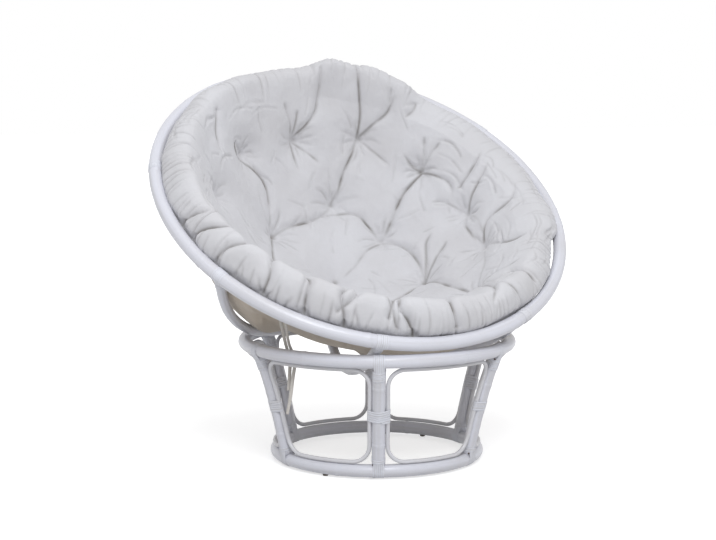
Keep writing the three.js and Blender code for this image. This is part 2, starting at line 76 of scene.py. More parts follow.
# The bowl's rim, ribs and lower hoop lie on a sphere. Heights are counted from its centre. The rim
# is half a millimetre smaller than the sphere is at its height.
BOWL_RADIUS = 0.558
RIM_ON_SPHERE = 0.535
RIM_RADIUS = 0.5345
RIM_HEIGHT = -math.sqrt(BOWL_RADIUS ** 2 - RIM_ON_SPHERE ** 2)
RIB_AZIMUTHS = [30 + 45 * i for i in range(8)]
RIB_REACH = 0.5569
RIB_INNER = 0.5437
# Its radius and height
LOWER_HOOP = (0.1573, -0.508)

# How far the cushion's underside stands off the ribs where it is lifted
UNDERSIDE_LIFT = 0.034

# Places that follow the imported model
tilt = next(j for j in frame["joints"] if j["name"] == "bowl_tilt")
ring_low, ring_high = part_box("stand_top_ring")
STAND_AXIS = Vector((0, (ring_low.y + ring_high.y) / 2, 0))
BOWL_CENTRE = Vector(tilt["pos_m"])
LEAN = math.radians(tilt["range_deg"][1])
BOWL = Matrix.Translation(BOWL_CENTRE) @ Matrix.Rotation(LEAN, 4, "X")
STAND = Matrix.Translation(STAND_AXIS)

scene = bpy.context.scene


# Camera at the photograph's viewpoint; its place is counted from the stand's axis.
CAMERA_PLACE = (-1.689, -3.626, 0.928)
CAMERA_PITCH, CAMERA_TURN = 83.58, -24.29
CAMERA_LENS = 79.81


def place_camera():
    data = bpy.data.cameras.new("photo_view")
    data.sensor_width = 36
    data.sensor_fit = "HORIZONTAL"
    data.lens = CAMERA_LENS
    camera = bpy.data.objects.new("photo_view", data)
    camera.location = STAND_AXIS + Vector(CAMERA_PLACE)
    camera.rotation_euler = (math.radians(CAMERA_PITCH), 0, math.radians(CAMERA_TURN))
    scene.collection.objects.link(camera)
    scene.camera = camera


place_camera()


# Small helpers
def polar(radius, azimuth, height=0.0):
    angle = math.radians(azimuth)
    return Vector((radius * math.sin(angle), -radius * math.cos(angle), height))


# The turn in degrees from one azimuth to another, the shorter way round
def turn_to(start, end):
    return (end - start + 540) % 360 - 180


# Eases from 0 to 1 while the value goes from 0 to 1.
def smooth_step(value):
    value = np.clip(value, 0, 1)
    return value * value * (3 - 2 * value)


# A smooth line through the points, each span cut into equal shares. It takes rows of numbers as
# well as vectors.
def spline(points, per_span):
    out = []
    last = len(points) - 1
    for i in range(last):
        p0, p1, p2, p3 = points[max(i - 1, 0)], points[i], points[i + 1], points[min(i + 2, last)]
        for t in np.linspace(0, 1, per_span, endpoint=False):
            out.append(0.5 * (2 * p1 + (p2 - p0) * t + (2 * p0 - 5 * p1 + 4 * p2 - p3) * t ** 2
                              + (3 * p1 - p0 - 3 * p2 + p3) * t ** 3))
    out.append(points[-1])
    return out


# The way along a line of places, at each of them
def ways_along(places):
    last = len(places) - 1
    return [places[min(i + 1, last)] - places[max(i - 1, 0)] for i in range(last + 1)]


def add_piece(name, bm, material, body, replaced=()):
    bmesh.ops.recalc_face_normals(bm, faces=bm.faces)
    mesh = bpy.data.meshes.new(name)
    bm.to_mesh(mesh)
    bm.free()
    mesh.shade_smooth()
    mesh.materials.append(material)
    piece = bpy.data.objects.new(name, mesh)
    scene.collection.objects.link(piece)
    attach(piece, body)
    if replaced:
        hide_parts(*replaced)
    return piece


# A face's place on the UV map: the share of the way round, and the distance along, which is a
# step more at the far corners. A face over the seam keeps its corners together.
def lay_uv(face, uv, share, travelled, step, far):
    shares = [loop.vert[share] for loop in face.loops]
    wraps = max(shares) - min(shares) > 0.5
    for loop, value in zip(face.loops, shares):
        value += 1 if wraps and value < 0.5 else 0
        loop[uv].uv = (value, travelled + (step if loop.vert in far else 0))


# Sweeps a section along stations. Each station is a matrix: x and y are the section's axes, z runs
# along the pole.
def sweep(bm, section, stations, closed=False):
    uv = bm.loops.layers.uv.get("along") or bm.loops.layers.uv.new("along")
    share = bm.verts.layers.float.get("share") or bm.verts.layers.float.new("share")
    ring = [bm.verts.new(stations[0] @ Vector((x, y, 0))) for x, y in section]
    for i, vert in enumerate(ring):
        vert[share] = i / len(ring)
    edges = [bm.edges.new((ring[i], ring[(i + 1) % len(ring)])) for i in range(len(ring))]
    first_edges = edges
    travelled = 0.0
    for before, after in zip(stations, stations[1:]):
        step = (after.translation - before.translation).length
        made = bmesh.ops.extrude_edge_only(bm, edges=edges)["geom"]
        verts = [g for g in made if isinstance(g, bmesh.types.BMVert)]
        new = set(verts)
        bmesh.ops.transform(bm, matrix=after @ before.inverted(), verts=verts)
        for face in (g for g in made if isinstance(g, bmesh.types.BMFace)):
            lay_uv(face, uv, share, travelled, step, new)
        edges = [g for g in made if isinstance(g, bmesh.types.BMEdge)
                 and g.verts[0] in new and g.verts[1] in new]
        travelled += step
    if closed:
        step = (stations[0].translation - stations[-1].translation).length
        for face in bmesh.ops.bridge_loops(bm, edges=first_edges + edges)["faces"]:
            lay_uv(face, uv, share, travelled, step, set(ring))
    else:
        for loop_edges in (first_edges, edges):
            bmesh.ops.edgeloop_fill(bm, edges=loop_edges)


def round_section(sides):
    return [(math.cos(2 * math.pi * i / sides), math.sin(2 * math.pi * i / sides))
            for i in range(sides)]


def strip_section(width, thickness):
    w, t = width / 2, thickness
    return [(0, -w), (0.55 * t, -w), (0.9 * t, -0.62 * w), (t, 0), (0.9 * t, 0.62 * w),
            (0.55 * t, w), (0, w)]


def station(place, along, out, scale=1.0):
    along = along.normalized()
    aside = along.cross(out).normalized()
    out = aside.cross(along)
    turn = Matrix((out * scale, aside * scale, along)).transposed().to_4x4()
    return Matrix.Translation(place) @ turn


# A knot on a pole is a low swelling with a fine groove on one side.
KNOT_RISE, KNOT_WIDTH = 0.045, 0.006
GROOVE_DEPTH, GROOVE_WIDTH, GROOVE_ASIDE = 0.03, 0.0014, 0.0065
# Stations lie close together round a knot and over a joint, but not closer than the last step.
KNOT_MARKS = np.linspace(-0.012, 0.014, 14)
JOINT_STEP = 0.0012
LEAST_STEP = 0.0006
# How much a pole's thickness changes, as a share of it
UNEVEN = 0.012


# A pole: its centre-line, its thickness and how far it wanders from the line
class Pole:
    def __init__(self, line, radius, plane, closed=False, wander=0.0007, seed=0):
        self.line = line
        self.radius = radius
        self.plane = plane
        self.closed = closed
        self.wander = wander
        self.shift = Vector((seed * 7.31, seed * 3.17, seed * 5.53))
        count = len(line)
        self.reach = [0.0]
        for i in range(1, count + (1 if closed else 0)):
            self.reach.append(self.reach[-1] + (line[i % count] - line[i - 1]).length)
        self.length = self.reach[-1]

    def at(self, distance):
        if self.closed:
            distance %= self.length
        distance = min(max(distance, 0.0), self.length)
        i = int(np.searchsorted(self.reach, distance, side="right")) - 1
        i = min(i, len(self.reach) - 2)
        a = self.line[i]
        b = self.line[(i + 1) % len(self.line)]
        share = (distance - self.reach[i]) / (self.reach[i + 1] - self.reach[i])
        return a.lerp(b, share)

    def frame(self, distance):
        step = 0.002
        low, high = distance - step, distance + step
        if not self.closed:
            low, high = max(low, 0), min(high, self.length)
        along = (self.at(high) - self.at(low)).normalized()
        place = self.at(distance)
        out = self.plane(place).cross(along).normalized()
        return place, along, out

    def knot_scale(self, distance, knots):
        scale = 1.0
        for at in knots:
            away = distance - at
            if self.closed:
                away = (away + self.length / 2) % self.length - self.length / 2
            scale += KNOT_RISE * math.exp(-(away / KNOT_WIDTH) ** 2)
            scale -= GROOVE_DEPTH * math.exp(-((away - GROOVE_ASIDE) / GROOVE_WIDTH) ** 2)
        return scale

    def marks(self, step, knots, joints):
        marks = list(np.linspace(0, self.length, max(int(self.length / step), 4) + 1))
        if self.closed:
            marks.pop()
        for at in knots:
            marks += [at + away for away in KNOT_MARKS]
        for low, high in joints:
            marks += list(np.linspace(low, high, int((high - low) / JOINT_STEP)))
        end = self.length
        marks = sorted({round(m % end if self.closed else min(max(m, 0), end), 5) for m in marks})
        kept = [marks[0]]
        for mark in marks[1:]:
            if mark - kept[-1] > LEAST_STEP:
                kept.append(mark)
        return kept

    def stations(self, step, knots=(), joints=()):
        out = []
        for distance in self.marks(step, knots, joints):
            place, along, outward = self.frame(distance)
            aside = along.cross(outward)
            at = place * 5 + self.shift
            place = place + outward * self.wander * noise.noise(at) \
                + aside * self.wander * noise.noise(at + Vector((9, 9, 9)))
            uneven = 1 + UNEVEN * noise.noise(place * 11 + self.shift)
            out.append(station(place, along, outward,
                               self.radius * uneven * self.knot_scale(distance, knots)))
        return out


def ring_pole(radius, height, pole_radius, place, start=0.0, seed=0):
    steps = 360
    line = [place @ polar(radius, start + 360 * i / steps, height) for i in range(steps)]
    axis = (place.to_3x3() @ Vector((0, 0, 1))).normalized()
    return Pole(line, pole_radius, lambda p: axis, closed=True, seed=seed)


def bezier(a, b, c, d, t):
    s = 1 - t
    return a * s ** 3 + b * 3 * s * s * t + c * 3 * s * t * t + d * t ** 3


def leg_pole(azimuth, seed=0):
    run = TOP_RING_RADIUS - BOTTOM_RING_RADIUS
    rise = TOP_RING_HEIGHT - BOTTOM_RING_HEIGHT
    shares = [(0, 0), (0.24, 0.3), (0.51, 0.66), (1, 1)]
    a, b, c, d = (Vector((BOTTOM_RING_RADIUS + run * out, 0, BOTTOM_RING_HEIGHT + rise * up))
                  for out, up in shares)
    turn = STAND @ Matrix.Rotation(math.radians(azimuth - 90), 4, "Z")
    line = [turn @ bezier(a, b, c, d, i / 80) for i in range(81)]
    side = turn.to_3x3() @ Vector((0, 1, 0))
    return Pole(line, STAND_POLE, lambda p: side, seed=seed)


# A rib starts a little past the lower hoop and ends at the rim.
RIB_FOOT_RADIUS = 0.165
RIB_PAST_HOOP = 0.03
RIB_LOW = math.asin(RIB_FOOT_RADIUS / BOWL_RADIUS) - RIB_PAST_HOOP / BOWL_RADIUS
RIB_HIGH = math.atan2(RIM_RADIUS, -RIM_HEIGHT)


def rib_pole(azimuth, seed=0):
    turn = BOWL @ Matrix.Rotation(math.radians(azimuth - 90), 4, "Z")
    line = []
    for i in range(101):
        angle = RIB_LOW + (RIB_HIGH - RIB_LOW) * i / 100
        line.append(turn @ Vector((RIB_REACH * math.sin(angle), 0, -RIB_REACH * math.cos(angle))))
    side = turn.to_3x3() @ Vector((0, 1, 0))
    return Pole(line, RIB_POLE, lambda p: side, wander=0.0004, seed=seed)


# A colour as it is seen, 0 to 255, made linear
def linear(red, green, blue):
    def one(value):
        value /= 255
        return value / 12.92 if value <= 0.04045 else ((value + 0.055) / 1.055) ** 2.4
    return (one(red), one(green), one(blue), 1.0)


# Sets an input, or links it where the value is another node's output.
def feed(tree, slot, value):
    if isinstance(value, bpy.types.NodeSocket):
        tree.links.new(value, slot)
    else:
        slot.default_value = value


def node(tree, kind, inputs=(), **settings):
    made = tree.nodes.new("ShaderNode" + kind)
    for key, value in settings.items():
        setattr(made, key, value)
    for key, value in dict(inputs).items():
        feed(tree, made.inputs[key], value)
    return made


def math_node(tree, operation, *values):
    return node(tree, "Math", enumerate(values), operation=operation).outputs[0]


def times(tree, a, b):
    return math_node(tree, "MULTIPLY", a, b)


def mix_colour(tree, share, a, b):
    made = node(tree, "Mix", data_type="RGBA")
    factor = next(s for s in made.inputs if s.type == "VALUE")
    first, second = (s for s in made.inputs if s.type == "RGBA")
    for slot, value in ((factor, share), (first, a), (second, b)):
        feed(tree, slot, value)
    return next(s for s in made.outputs if s.type == "RGBA")


def between(tree, value, low, high, to_low=0.0, to_high=1.0):
    made = node(tree, "MapRange", {"Value": value, "From Min": low, "From Max": high,
                                   "To Min": to_low, "To Max": to_high})
    return made.outputs[0]


# Shader node groups, built once and used in several materials
class Group:
    def __init__(self, name, inputs, outputs):
        self.tree = bpy.data.node_groups.new(name, "ShaderNodeTree")
        for title, default in inputs.items():
            socket = self.tree.interface.new_socket(title, in_out="INPUT",
                                                    socket_type="NodeSocketFloat")
            socket.default_value = default
        for title in outputs:
            self.tree.interface.new_socket(title, in_out="OUTPUT", socket_type="NodeSocketFloat")
        self.source = self.tree.nodes.new("NodeGroupInput").outputs
        self.sink = self.tree.nodes.new("NodeGroupOutput").inputs

    def put_out(self, **values):
        for title, value in values.items():
            self.tree.links.new(value, self.sink[title])
        return self.tree


# Fibres along a pole or strip, from the UV map that sweep() lays
def fibre_group():
    group = Group("fibre_lines", {"Around": 12.0, "Along": 16.0}, ["Fine", "Broad"])
    tree = group.tree
    place = node(tree, "UVMap", uv_map="along").outputs[0]
    split = node(tree, "SeparateXYZ", {0: place}).outputs
    turn = times(tree, split[0], 2 * math.pi)
    across = times(tree, math_node(tree, "COSINE", turn), group.source["Around"])
    deep = times(tree, math_node(tree, "SINE", turn), group.source["Around"])
    along = times(tree, split[1], group.source["Along"])
    vector = node(tree, "CombineXYZ", {0: across, 1: deep, 2: along}).outputs[0]
    fine = node(tree, "TexNoise", {"Vector": vector, "Scale": 1.0, "Detail": 3.0, "Roughness": 0.6})
    broad = node(tree, "TexNoise", {"Vector": vector, "Scale": 0.16, "Detail": 2.0})
    return group.put_out(Fine=fine.outputs[0], Broad=broad.outputs[0])


# Soft blotches of age: dust that settles and paint that has dulled
def patina_group():
    group = Group("patina", {"Scale": 9.0}, ["Blotch", "Speck"])
    tree = group.tree
    place = node(tree, "TexCoord").outputs["Object"]
    blotch = node(tree, "TexNoise", {"Vector": place, "Scale": group.source["Scale"],
                                     "Detail": 4.0, "Roughness": 0.55})
    speck = node(tree, "TexNoise", {"Vector": place, "Scale": 420.0, "Detail": 2.0})
    ramp = node(tree, "ValToRGB", {"Fac": speck.outputs[0]})
    ramp.color_ramp.elements[0].position = 0.62
    ramp.color_ramp.elements[1].position = 0.74
    return group.put_out(Blotch=blotch.outputs[0], Speck=ramp.outputs["Color"])


# Plain weave from a flat UV map in metres
def weave_group():
    group = Group("plain_weave", {"Threads": 900.0, "Slub": 0.3}, ["Height", "Slubs"])
    tree = group.tree
    place = node(tree, "UVMap", uv_map="cloth").outputs[0]
    wobble = node(tree, "TexNoise", {"Vector": place, "Scale": 60.0, "Detail": 2.0}).outputs[0]
    split = node(tree, "SeparateXYZ", {0: place}).outputs
    drift = times(tree, wobble, 0.004)
    per_metre = times(tree, group.source["Threads"], 2 * math.pi)
    threads = [math_node(tree, "SINE", times(tree, math_node(tree, "ADD", split[axis], drift),
                                             per_metre)) for axis in (0, 1)]
    lines = []
    for stretch in ((0.06, 1.0, 1.0), (1.0, 0.06, 1.0)):
        long = node(tree, "Mapping", {"Vector": place, "Scale": stretch}).outputs[0]
        lines.append(node(tree, "TexNoise", {"Vector": long, "Scale": 700.0, "Detail": 2.0}).outputs[0])
    slubs = times(tree, math_node(tree, "ADD", *lines), 0.5)
    height = math_node(tree, "ADD", times(tree, times(tree, *threads), 0.5),
                       times(tree, slubs, group.source["Slub"]))
    return group.put_out(Height=height, Slubs=slubs)


FIBRES = fibre_group()
PATINA = patina_group()
WEAVE = weave_group()


def use_group(tree, group, **values):
    made = tree.nodes.new("ShaderNodeGroup")
    made.node_tree = group
    for key, value in values.items():
        made.inputs[key].default_value = value
    return made.outputs


def new_material(name, roughness, sheen=0.0, coat=0.0):
    material = bpy.data.materials.new(name)
    material.use_nodes = True
    tree = material.node_tree
    shader = tree.nodes["Principled BSDF"].inputs
    shader["Roughness"].default_value = roughness
    shader["Sheen Weight"].default_value = sheen
    shader["Coat Weight"].default_value = coat
    shader["Coat Roughness"].default_value = 0.25
    return material, tree, shader


def bump(tree, shader, height, strength, distance):
    made = node(tree, "Bump", {"Height": height, "Strength": strength, "Distance": distance})
    feed(tree, shader["Normal"], made.outputs[0])


# Painted rattan: paint over fibres, worn in streaks and dull blotches, with a few grey flecks
def painted_rattan(name, paint, worn, around, along, roughness, relief=0.35):
    material, tree, shader = new_material(name, roughness, coat=0.15)
    fibres = use_group(tree, FIBRES, Around=around, Along=along)
    age = use_group(tree, PATINA, Scale=7.0)
    streak = between(tree, fibres["Broad"], 0.42, 0.72)
    colour = mix_colour(tree, times(tree, streak, 0.5), paint, worn)
    dull = between(tree, age["Blotch"], 0.5, 0.75)
    colour = mix_colour(tree, times(tree, dull, 0.35), colour, worn)
    grey = tuple(0.55 * c for c in worn[:3]) + (1.0,)
    colour = mix_colour(tree, times(tree, age["Speck"], 0.25), colour, grey)
    feed(tree, shader["Base Color"], colour)
    shine = between(tree, fibres["Fine"], 0.3, 0.7, roughness - 0.08, roughness + 0.1)
    feed(tree, shader["Roughness"], shine)
    bump(tree, shader, fibres["Fine"], relief, 0.0006)
    return material


# Pale cotton: slubs in the weave, painted shade on the underside, and dust with painted shade in the
# creases
def cushion_cloth():
    material, tree, shader = new_material("cushion_cotton", 0.92, sheen=0.25)
    shader["Sheen Roughness"].default_value = 0.5
    weave = use_group(tree, WEAVE, Threads=850.0, Slub=0.7)
    age = use_group(tree, PATINA, Scale=5.0)
    soft = between(tree, age["Blotch"], 0.35, 0.7)
    colour = mix_colour(tree, soft, linear(208, 208, 211), linear(199, 198, 200))
    thread = between(tree, weave["Slubs"], 0.35, 0.65)
    colour = mix_colour(tree, times(tree, thread, 0.35), colour, linear(196, 195, 198))
    # Painted shade: the underside is mixed towards a darker, warmer beige for the shade it lies in.
    shade = node(tree, "Attribute", attribute_name="underside").outputs["Fac"]
    colour = mix_colour(tree, shade, colour, linear(196, 184, 168))
    # Dust with painted shade: the bottoms of tufts, creases and puckers are darkened for dust and for the
    # shade that falls there.
    dust_and_shade = node(tree, "Attribute", attribute_name="crease_dust_and_shade").outputs["Fac"]
    colour = mix_colour(tree, times(tree, dust_and_shade, 0.86), colour, linear(112, 107, 101))
    feed(tree, shader["Base Color"], colour)
    place = node(tree, "TexCoord").outputs["Object"]
    crumple = node(tree, "TexNoise", {"Vector": place, "Scale": 38.0, "Detail": 5.0,
                                      "Roughness": 0.55, "Distortion": 0.6}).outputs[0]
    height = math_node(tree, "ADD", times(tree, crumple, 9.0), times(tree, weave["Height"], 0.5))
    bump(tree, shader, height, 0.35, 0.0004)
    return material


def tape_cloth():
    material, tree, shader = new_material("tie_tape_cotton", 0.9, sheen=0.2)
    fibres = use_group(tree, FIBRES, Around=5.0, Along=900.0)
    weave = between(tree, fibres["Fine"], 0.35, 0.65)
    colour = mix_colour(tree, weave, linear(214, 210, 204), linear(186, 181, 174))
    feed(tree, shader["Base Color"], colour)
    bump(tree, shader, fibres["Fine"], 0.6, 0.0004)
    return material


def glide_rubber():
    material, tree, shader = new_material("glide_plastic", 0.5)
    blotch = use_group(tree, PATINA, Scale=160.0)["Blotch"]
    scuff = between(tree, blotch, 0.45, 0.7)
    feed(tree, shader["Base Color"],
         mix_colour(tree, scuff, linear(92, 84, 76), linear(126, 118, 108)))
    feed(tree, shader["Roughness"], between(tree, blotch, 0.3, 0.7, 0.4, 0.65))
    bump(tree, shader, blotch, 0.3, 0.0005)
    return material


def nail_steel():
    material, tree, shader = new_material("nail_steel", 0.5)
    shader["Metallic"].default_value = 0.8
    blotch = use_group(tree, PATINA, Scale=600.0)["Blotch"]
    rust = between(tree, blotch, 0.4, 0.65)
    feed(tree, shader["Base Color"], mix_colour(tree, rust, linear(74, 66, 60), linear(80, 54, 40)))
    feed(tree, shader["Roughness"], between(tree, blotch, 0.3, 0.7, 0.35, 0.75))
    return material


POLE_PAINT = painted_rattan("painted_pole", linear(213, 214, 222), linear(194, 192, 193),
                            11.0, 14.0, 0.34)
CANE_PAINT = painted_rattan("painted_cane", linear(213, 213, 217), linear(192, 190, 189),
                            6.0, 18.0, 0.42)
SKIN_PAINT = painted_rattan("binding_skin", linear(216, 218, 226), linear(196, 190, 184),
                            4.0, 60.0, 0.5, 0.15)
COTTON = cushion_cloth()
TAPE = tape_cloth()
RUBBER = glide_rubber()
STEEL = nail_steel()


# Tie tapes: flat cotton tape along the routes of the model's two strands. A root is degrees from
# the bowl's axis and an azimuth; a route is counted from the stand's axis.
TAPE_WIDTH = 0.0085
TAPE_THICKNESS = 0.0011
TAPE_FACE = Vector((-0.55, -0.84, 0))
TAPE_TWIST, TAPE_TWIST_RATE = 0.5, 0.16
TAPE_ROOTS = [(62.8, -43.2), (63.3, -41.6)]
# Distances from the ribs' inner side, of the stitches in the cloth and of the bend below them
TAPE_STARTS = (-UNDERSIDE_LIFT - 0.001, -UNDERSIDE_LIFT + 0.008)
TAPE_ROUTES = [
    [(-0.294, -0.107, 0.33), (-0.286, -0.11, 0.3), (-0.282, -0.11, 0.285), (-0.283, -0.109, 0.25),
     (-0.286, -0.109, 0.209)],
    [(-0.289, -0.118, 0.33), (-0.279, -0.121, 0.3), (-0.274, -0.122, 0.28), (-0.28, -0.122, 0.24),
     (-0.286, -0.119, 0.19), (-0.2935, -0.1175, 0.153)],
]


def tie_tapes():
    w, t = TAPE_WIDTH / 2, TAPE_THICKNESS / 2
    section = [(-t, -w), (0, -w * 1.02), (t, -w), (t, w), (0, w * 1.02), (-t, w)]
    for number, (root, route) in enumerate(zip(TAPE_ROOTS, TAPE_ROUTES), 1):
        angle = math.radians(root[0])
        way = BOWL.to_3x3() @ polar(math.sin(angle), root[1], -math.cos(angle))
        points = [BOWL_CENTRE + way * (RIB_INNER + reach) for reach in TAPE_STARTS]
        points += [STAND_AXIS + Vector(p) for p in route]
        path = spline(points, 8)
        stations = []
        for i, (place, along) in enumerate(zip(path, ways_along(path))):
            twist = Matrix.Rotation(TAPE_TWIST * math.sin(i * TAPE_TWIST_RATE + number), 3, "Z")
            stations.append(station(place, along, twist @ TAPE_FACE))
        bm = bmesh.new()
        sweep(bm, section, stations)
        piece = add_piece(f"cushion_tie_tape_{number}", bm, TAPE, "cushion",
                          [f"cushion_tie_{number}"])


tie_tapes()


# Poles. A pole's end is cut to the curve of the ring that it meets.
def cope(verts, pole, at_end, ring_radius):
    reach = ring_radius + SEAT_GAP
    centre, along, out = pole.frame(pole.length if at_end else 0)
    toward = along if at_end else -along
    for vert in verts:
        across = (vert.co - centre).dot(out)
        room = math.sqrt(max(reach ** 2 - across ** 2, 0))
        here = (centre - vert.co).dot(toward)
        vert.co += toward * (here - room)


# cut holds the radius of the ring at the pole's start and at its end, or None.
def pole_mesh(pole, sides, step, knots, joints=(), cut=(None, None)):
    bm = bmesh.new()
    start, end = cut
    stations = [s for s in pole.stations(step, knots, joints)
                if (not start or (s.translation - pole.at(0)).length > start + 0.001)
                and (not end or (s.translation - pole.at(pole.length)).length > end + 0.001)]
    sweep(bm, round_section(sides), stations, pole.closed)
    bm.verts.ensure_lookup_table()
    if start:
        cope(bm.verts[:sides], pole, False, start)
    if end:
        cope(bm.verts[-sides:], pole, True, end)
    return bm


RIM_START = -102
TOP_RING = ring_pole(TOP_RING_RADIUS, TOP_RING_HEIGHT, STAND_POLE, STAND, start=-24, seed=1)
BOTTOM_RING = ring_pole(BOTTOM_RING_RADIUS, BOTTOM_RING_HEIGHT, STAND_POLE, STAND, start=96, seed=2)
RIM = ring_pole(RIM_RADIUS, RIM_HEIGHT, RIM_POLE, BOWL, start=RIM_START, seed=3)
LOWER_RING = ring_pole(*LOWER_HOOP, RIB_POLE, BOWL, start=120, seed=4)

# The rim's two scarf joints, as distances along it: one at the left, where the rim starts, and one
# at an azimuth at the right. Then the stations' close parts there, and a nail beside each.
RIGHT_SCARF_AZIMUTH = 26
RIGHT_SCARF = (RIGHT_SCARF_AZIMUTH - RIM_START) % 360 / 360 * RIM.length
SCARFS = (0.006, RIGHT_SCARF)
SCARF_JOINTS = [(0.001, 0.012), (RIGHT_SCARF - 0.012, RIGHT_SCARF + 0.012)]
SCARF_NAILS = (0.02, RIGHT_SCARF + 0.016)
SCARF_SLANT = 0.35
SCARF_DEPTH, SCARF_WIDTH, SCARF_REACH = 0.0011, 0.0009, 0.03

# Name, pole, body, node, sides, and the knots' distances along the pole
RINGS = [
    ("top_ring_pole", TOP_RING, "stand", "stand_top_ring", 22, [0.21, 0.66, 1.02, 1.55, 1.93]),
    ("bottom_ring_pole", BOTTOM_RING, "stand", "stand_bottom_ring", 22, [0.18, 0.52, 0.97, 1.36]),
    ("rim_pole", RIM, "bowl", "rim_hoop", 24, [0.33, 0.78, 1.2, 1.71, 2.1, 2.6, 3.02]),
    ("lower_hoop_pole", LOWER_RING, "bowl", "lower_hoop", 18, [0.2, 0.71]),
]


# A fine slanting cut round the rim at each scarf joint
def cut_scarfs(bm):
    for at in SCARFS:
        place, along, out = RIM.frame(at)
        slant = (along + SCARF_SLANT * out).normalized()
        for vert in bm.verts:
            away = vert.co - place
            if away.length < SCARF_REACH:
                depth = SCARF_DEPTH * math.exp(-(away.dot(slant) / SCARF_WIDTH) ** 2)
                vert.co -= (away - along * away.dot(along)).normalized() * depth


def poles():
    for name, pole, body, node_name, sides, knots in RINGS:
        bm = pole_mesh(pole, sides, 0.008, knots, SCARF_JOINTS if pole is RIM else ())
        if pole is RIM:
            cut_scarfs(bm)
        add_piece(name, bm, POLE_PAINT, body, [node_name])
    for i, azimuth in enumerate(LEG_AZIMUTHS):
        knots = [0.07 + 0.03 * ((i * 7) % 5), 0.22 - 0.02 * (i % 3)]
        bm = pole_mesh(leg_pole(azimuth, seed=11 + i), 22, 0.006, knots, cut=(STAND_POLE, STAND_POLE))
        add_piece(f"leg_pole_{i + 1}", bm, POLE_PAINT, "stand", [f"leg_{i + 1}"])
    for i, azimuth in enumerate(RIB_AZIMUTHS):
        knots = [0.12 + 0.05 * (i % 4), 0.42 - 0.03 * (i % 3)]
        bm = pole_mesh(rib_pole(azimuth, seed=21 + i), 18, 0.008, knots, cut=(None, RIM_POLE))
        add_piece(f"rib_pole_{i + 1}", bm, POLE_PAINT, "bowl", [f"rib_{i + 1}"])


# How far along a leg a height lies, and its distance from the stand's axis there
def leg_reach(height, leg=leg_pole(0)):
    low, high = 0.0, leg.length
    for _ in range(40):
        middle = (low + high) / 2
        low, high = (middle, high) if leg.at(middle).z < height else (low, middle)
    place = leg.at(low) - STAND_AXIS
    return low, math.hypot(place.x, place.y)


CANE_ASIDE = STAND_POLE + SEAT_GAP + CANE
CANE_CORNER = 0.042
CANE_TOP = TOP_RING_HEIGHT - STAND_POLE - SEAT_GAP - CANE
CANE_BOTTOM = BOTTOM_RING_HEIGHT + STAND_POLE + SEAT_GAP + CANE


# Half the way from one leg's cane to the next, round the stand at a height
def half_width(height):
    radius = leg_reach(height)[1]
    return radius * (math.pi / 6 - math.asin(CANE_ASIDE / radius))


# A loop between two legs, flat: its distance from the middle, and its height
def cane_outline():
    corner = CANE_CORNER

    def turn(side, middle, start):
        made = []
        for k in range(9):
            angle = start + math.pi / 2 * k / 8
            height = middle + corner * math.sin(angle)
            made.append((side * (half_width(height) - corner) + corner * math.cos(angle), height))
        return made

    def across(height, way, steps):
        edge = half_width(height) - corner
        return [(way * edge - way * edge * 2 * k / steps, height) for k in range(1, steps)]

    def side_run(side, start, end, steps=14):
        heights = [start + (end - start) * k / steps for k in range(1, steps)]
        return [(side * half_width(height), height) for height in heights]

    high, low = CANE_TOP - corner, CANE_BOTTOM + corner
    return (turn(1, high, 0) + across(CANE_TOP, 1, 14) + turn(-1, high, math.pi / 2)
            + side_run(-1, high, low) + turn(-1, low, math.pi) + across(CANE_BOTTOM, -1, 12)
            + turn(1, low, 3 * math.pi / 2) + side_run(1, low, high))


def cane_loops():
    outline = cane_outline()
    for i, leg_azimuth in enumerate(LEG_AZIMUTHS):
        line = []
        for across, height in outline:
            radius = leg_reach(height)[1]
            turn = leg_azimuth + 30 + math.degrees(across / radius)
            line.append(STAND @ polar(radius, turn, height))
        pole = Pole(line, CANE, lambda p: Vector((p.x, p.y - STAND_AXIS.y, 0)).normalized(),
                    closed=True, wander=0.0003, seed=31 + i)
        bm = pole_mesh(pole, 12, 0.008, [0.3 + 0.04 * i])
        add_piece(f"cane_loop_bent_{i + 1}", bm, CANE_PAINT, "stand",
                  [f"cane_loop_{i + 1}"])


poles()
cane_loops()


# Lashings. Straps pass over the ring and down both faces of the pole that meets it; a strip wound
# round the pole holds the straps.
STRAPS = 6
# How far past the ring the straps run along the pole, and the length of their flat feet
STRAP_REACH = 0.006
STRAP_FOOT = 0.012
# The fan of the straps on the pole, in radians from its face, and on the ring, in metres
LEG_FAN = (0.9, 0.0138)
RIM_FAN = (1.15, 0.0142)
# Beyond this share of the pole's face the winding slopes down from the straps to the bare pole.
STRAP_COVER = 0.25
STRAP_SLOPE = 0.3
# The winding starts a little past the straps' bend and goes round this often.
WINDING_START = 0.001
LEG_TOP_TURNS, LEG_FOOT_TURNS, RIM_TURNS = 5.2, 2.6, 3.4
MIDDLE_HEIGHT = 0.1625
MIDDLE_TURNS = (5.3, 4.6)
# Loose ends: their lengths, and the curl of one that stands off a rib
RIM_TAIL, FOOT_TAIL = 0.02, 0.014
RIM_TAIL_CURL, FOOT_TAIL_CURL = 1.3, 0.05
# A nail sits on the pole this far before the winding, turned this far from its face, in radians.
NAIL_BEFORE = 0.003
NAIL_TURN = -1.0
NAIL_RADIUS = 0.0026
NAIL_FLATNESS = 0.35

# A ring that poles are lashed to: its middle, axis and radius, and the radius of its pole
Hoop = namedtuple("Hoop", "centre axis radius tube")
UP = Vector((0, 0, 1))
TOP_HOOP = Hoop(STAND_AXIS + UP * TOP_RING_HEIGHT, UP, TOP_RING_RADIUS, STAND_POLE)
FOOT_HOOP = Hoop(STAND_AXIS + UP * BOTTOM_RING_HEIGHT, UP, BOTTOM_RING_RADIUS, STAND_POLE)
RIM_HOOP = Hoop(BOWL @ Vector((0, 0, RIM_HEIGHT)), (BOWL.to_3x3() @ UP).normalized(), RIM_RADIUS,
                RIM_POLE)


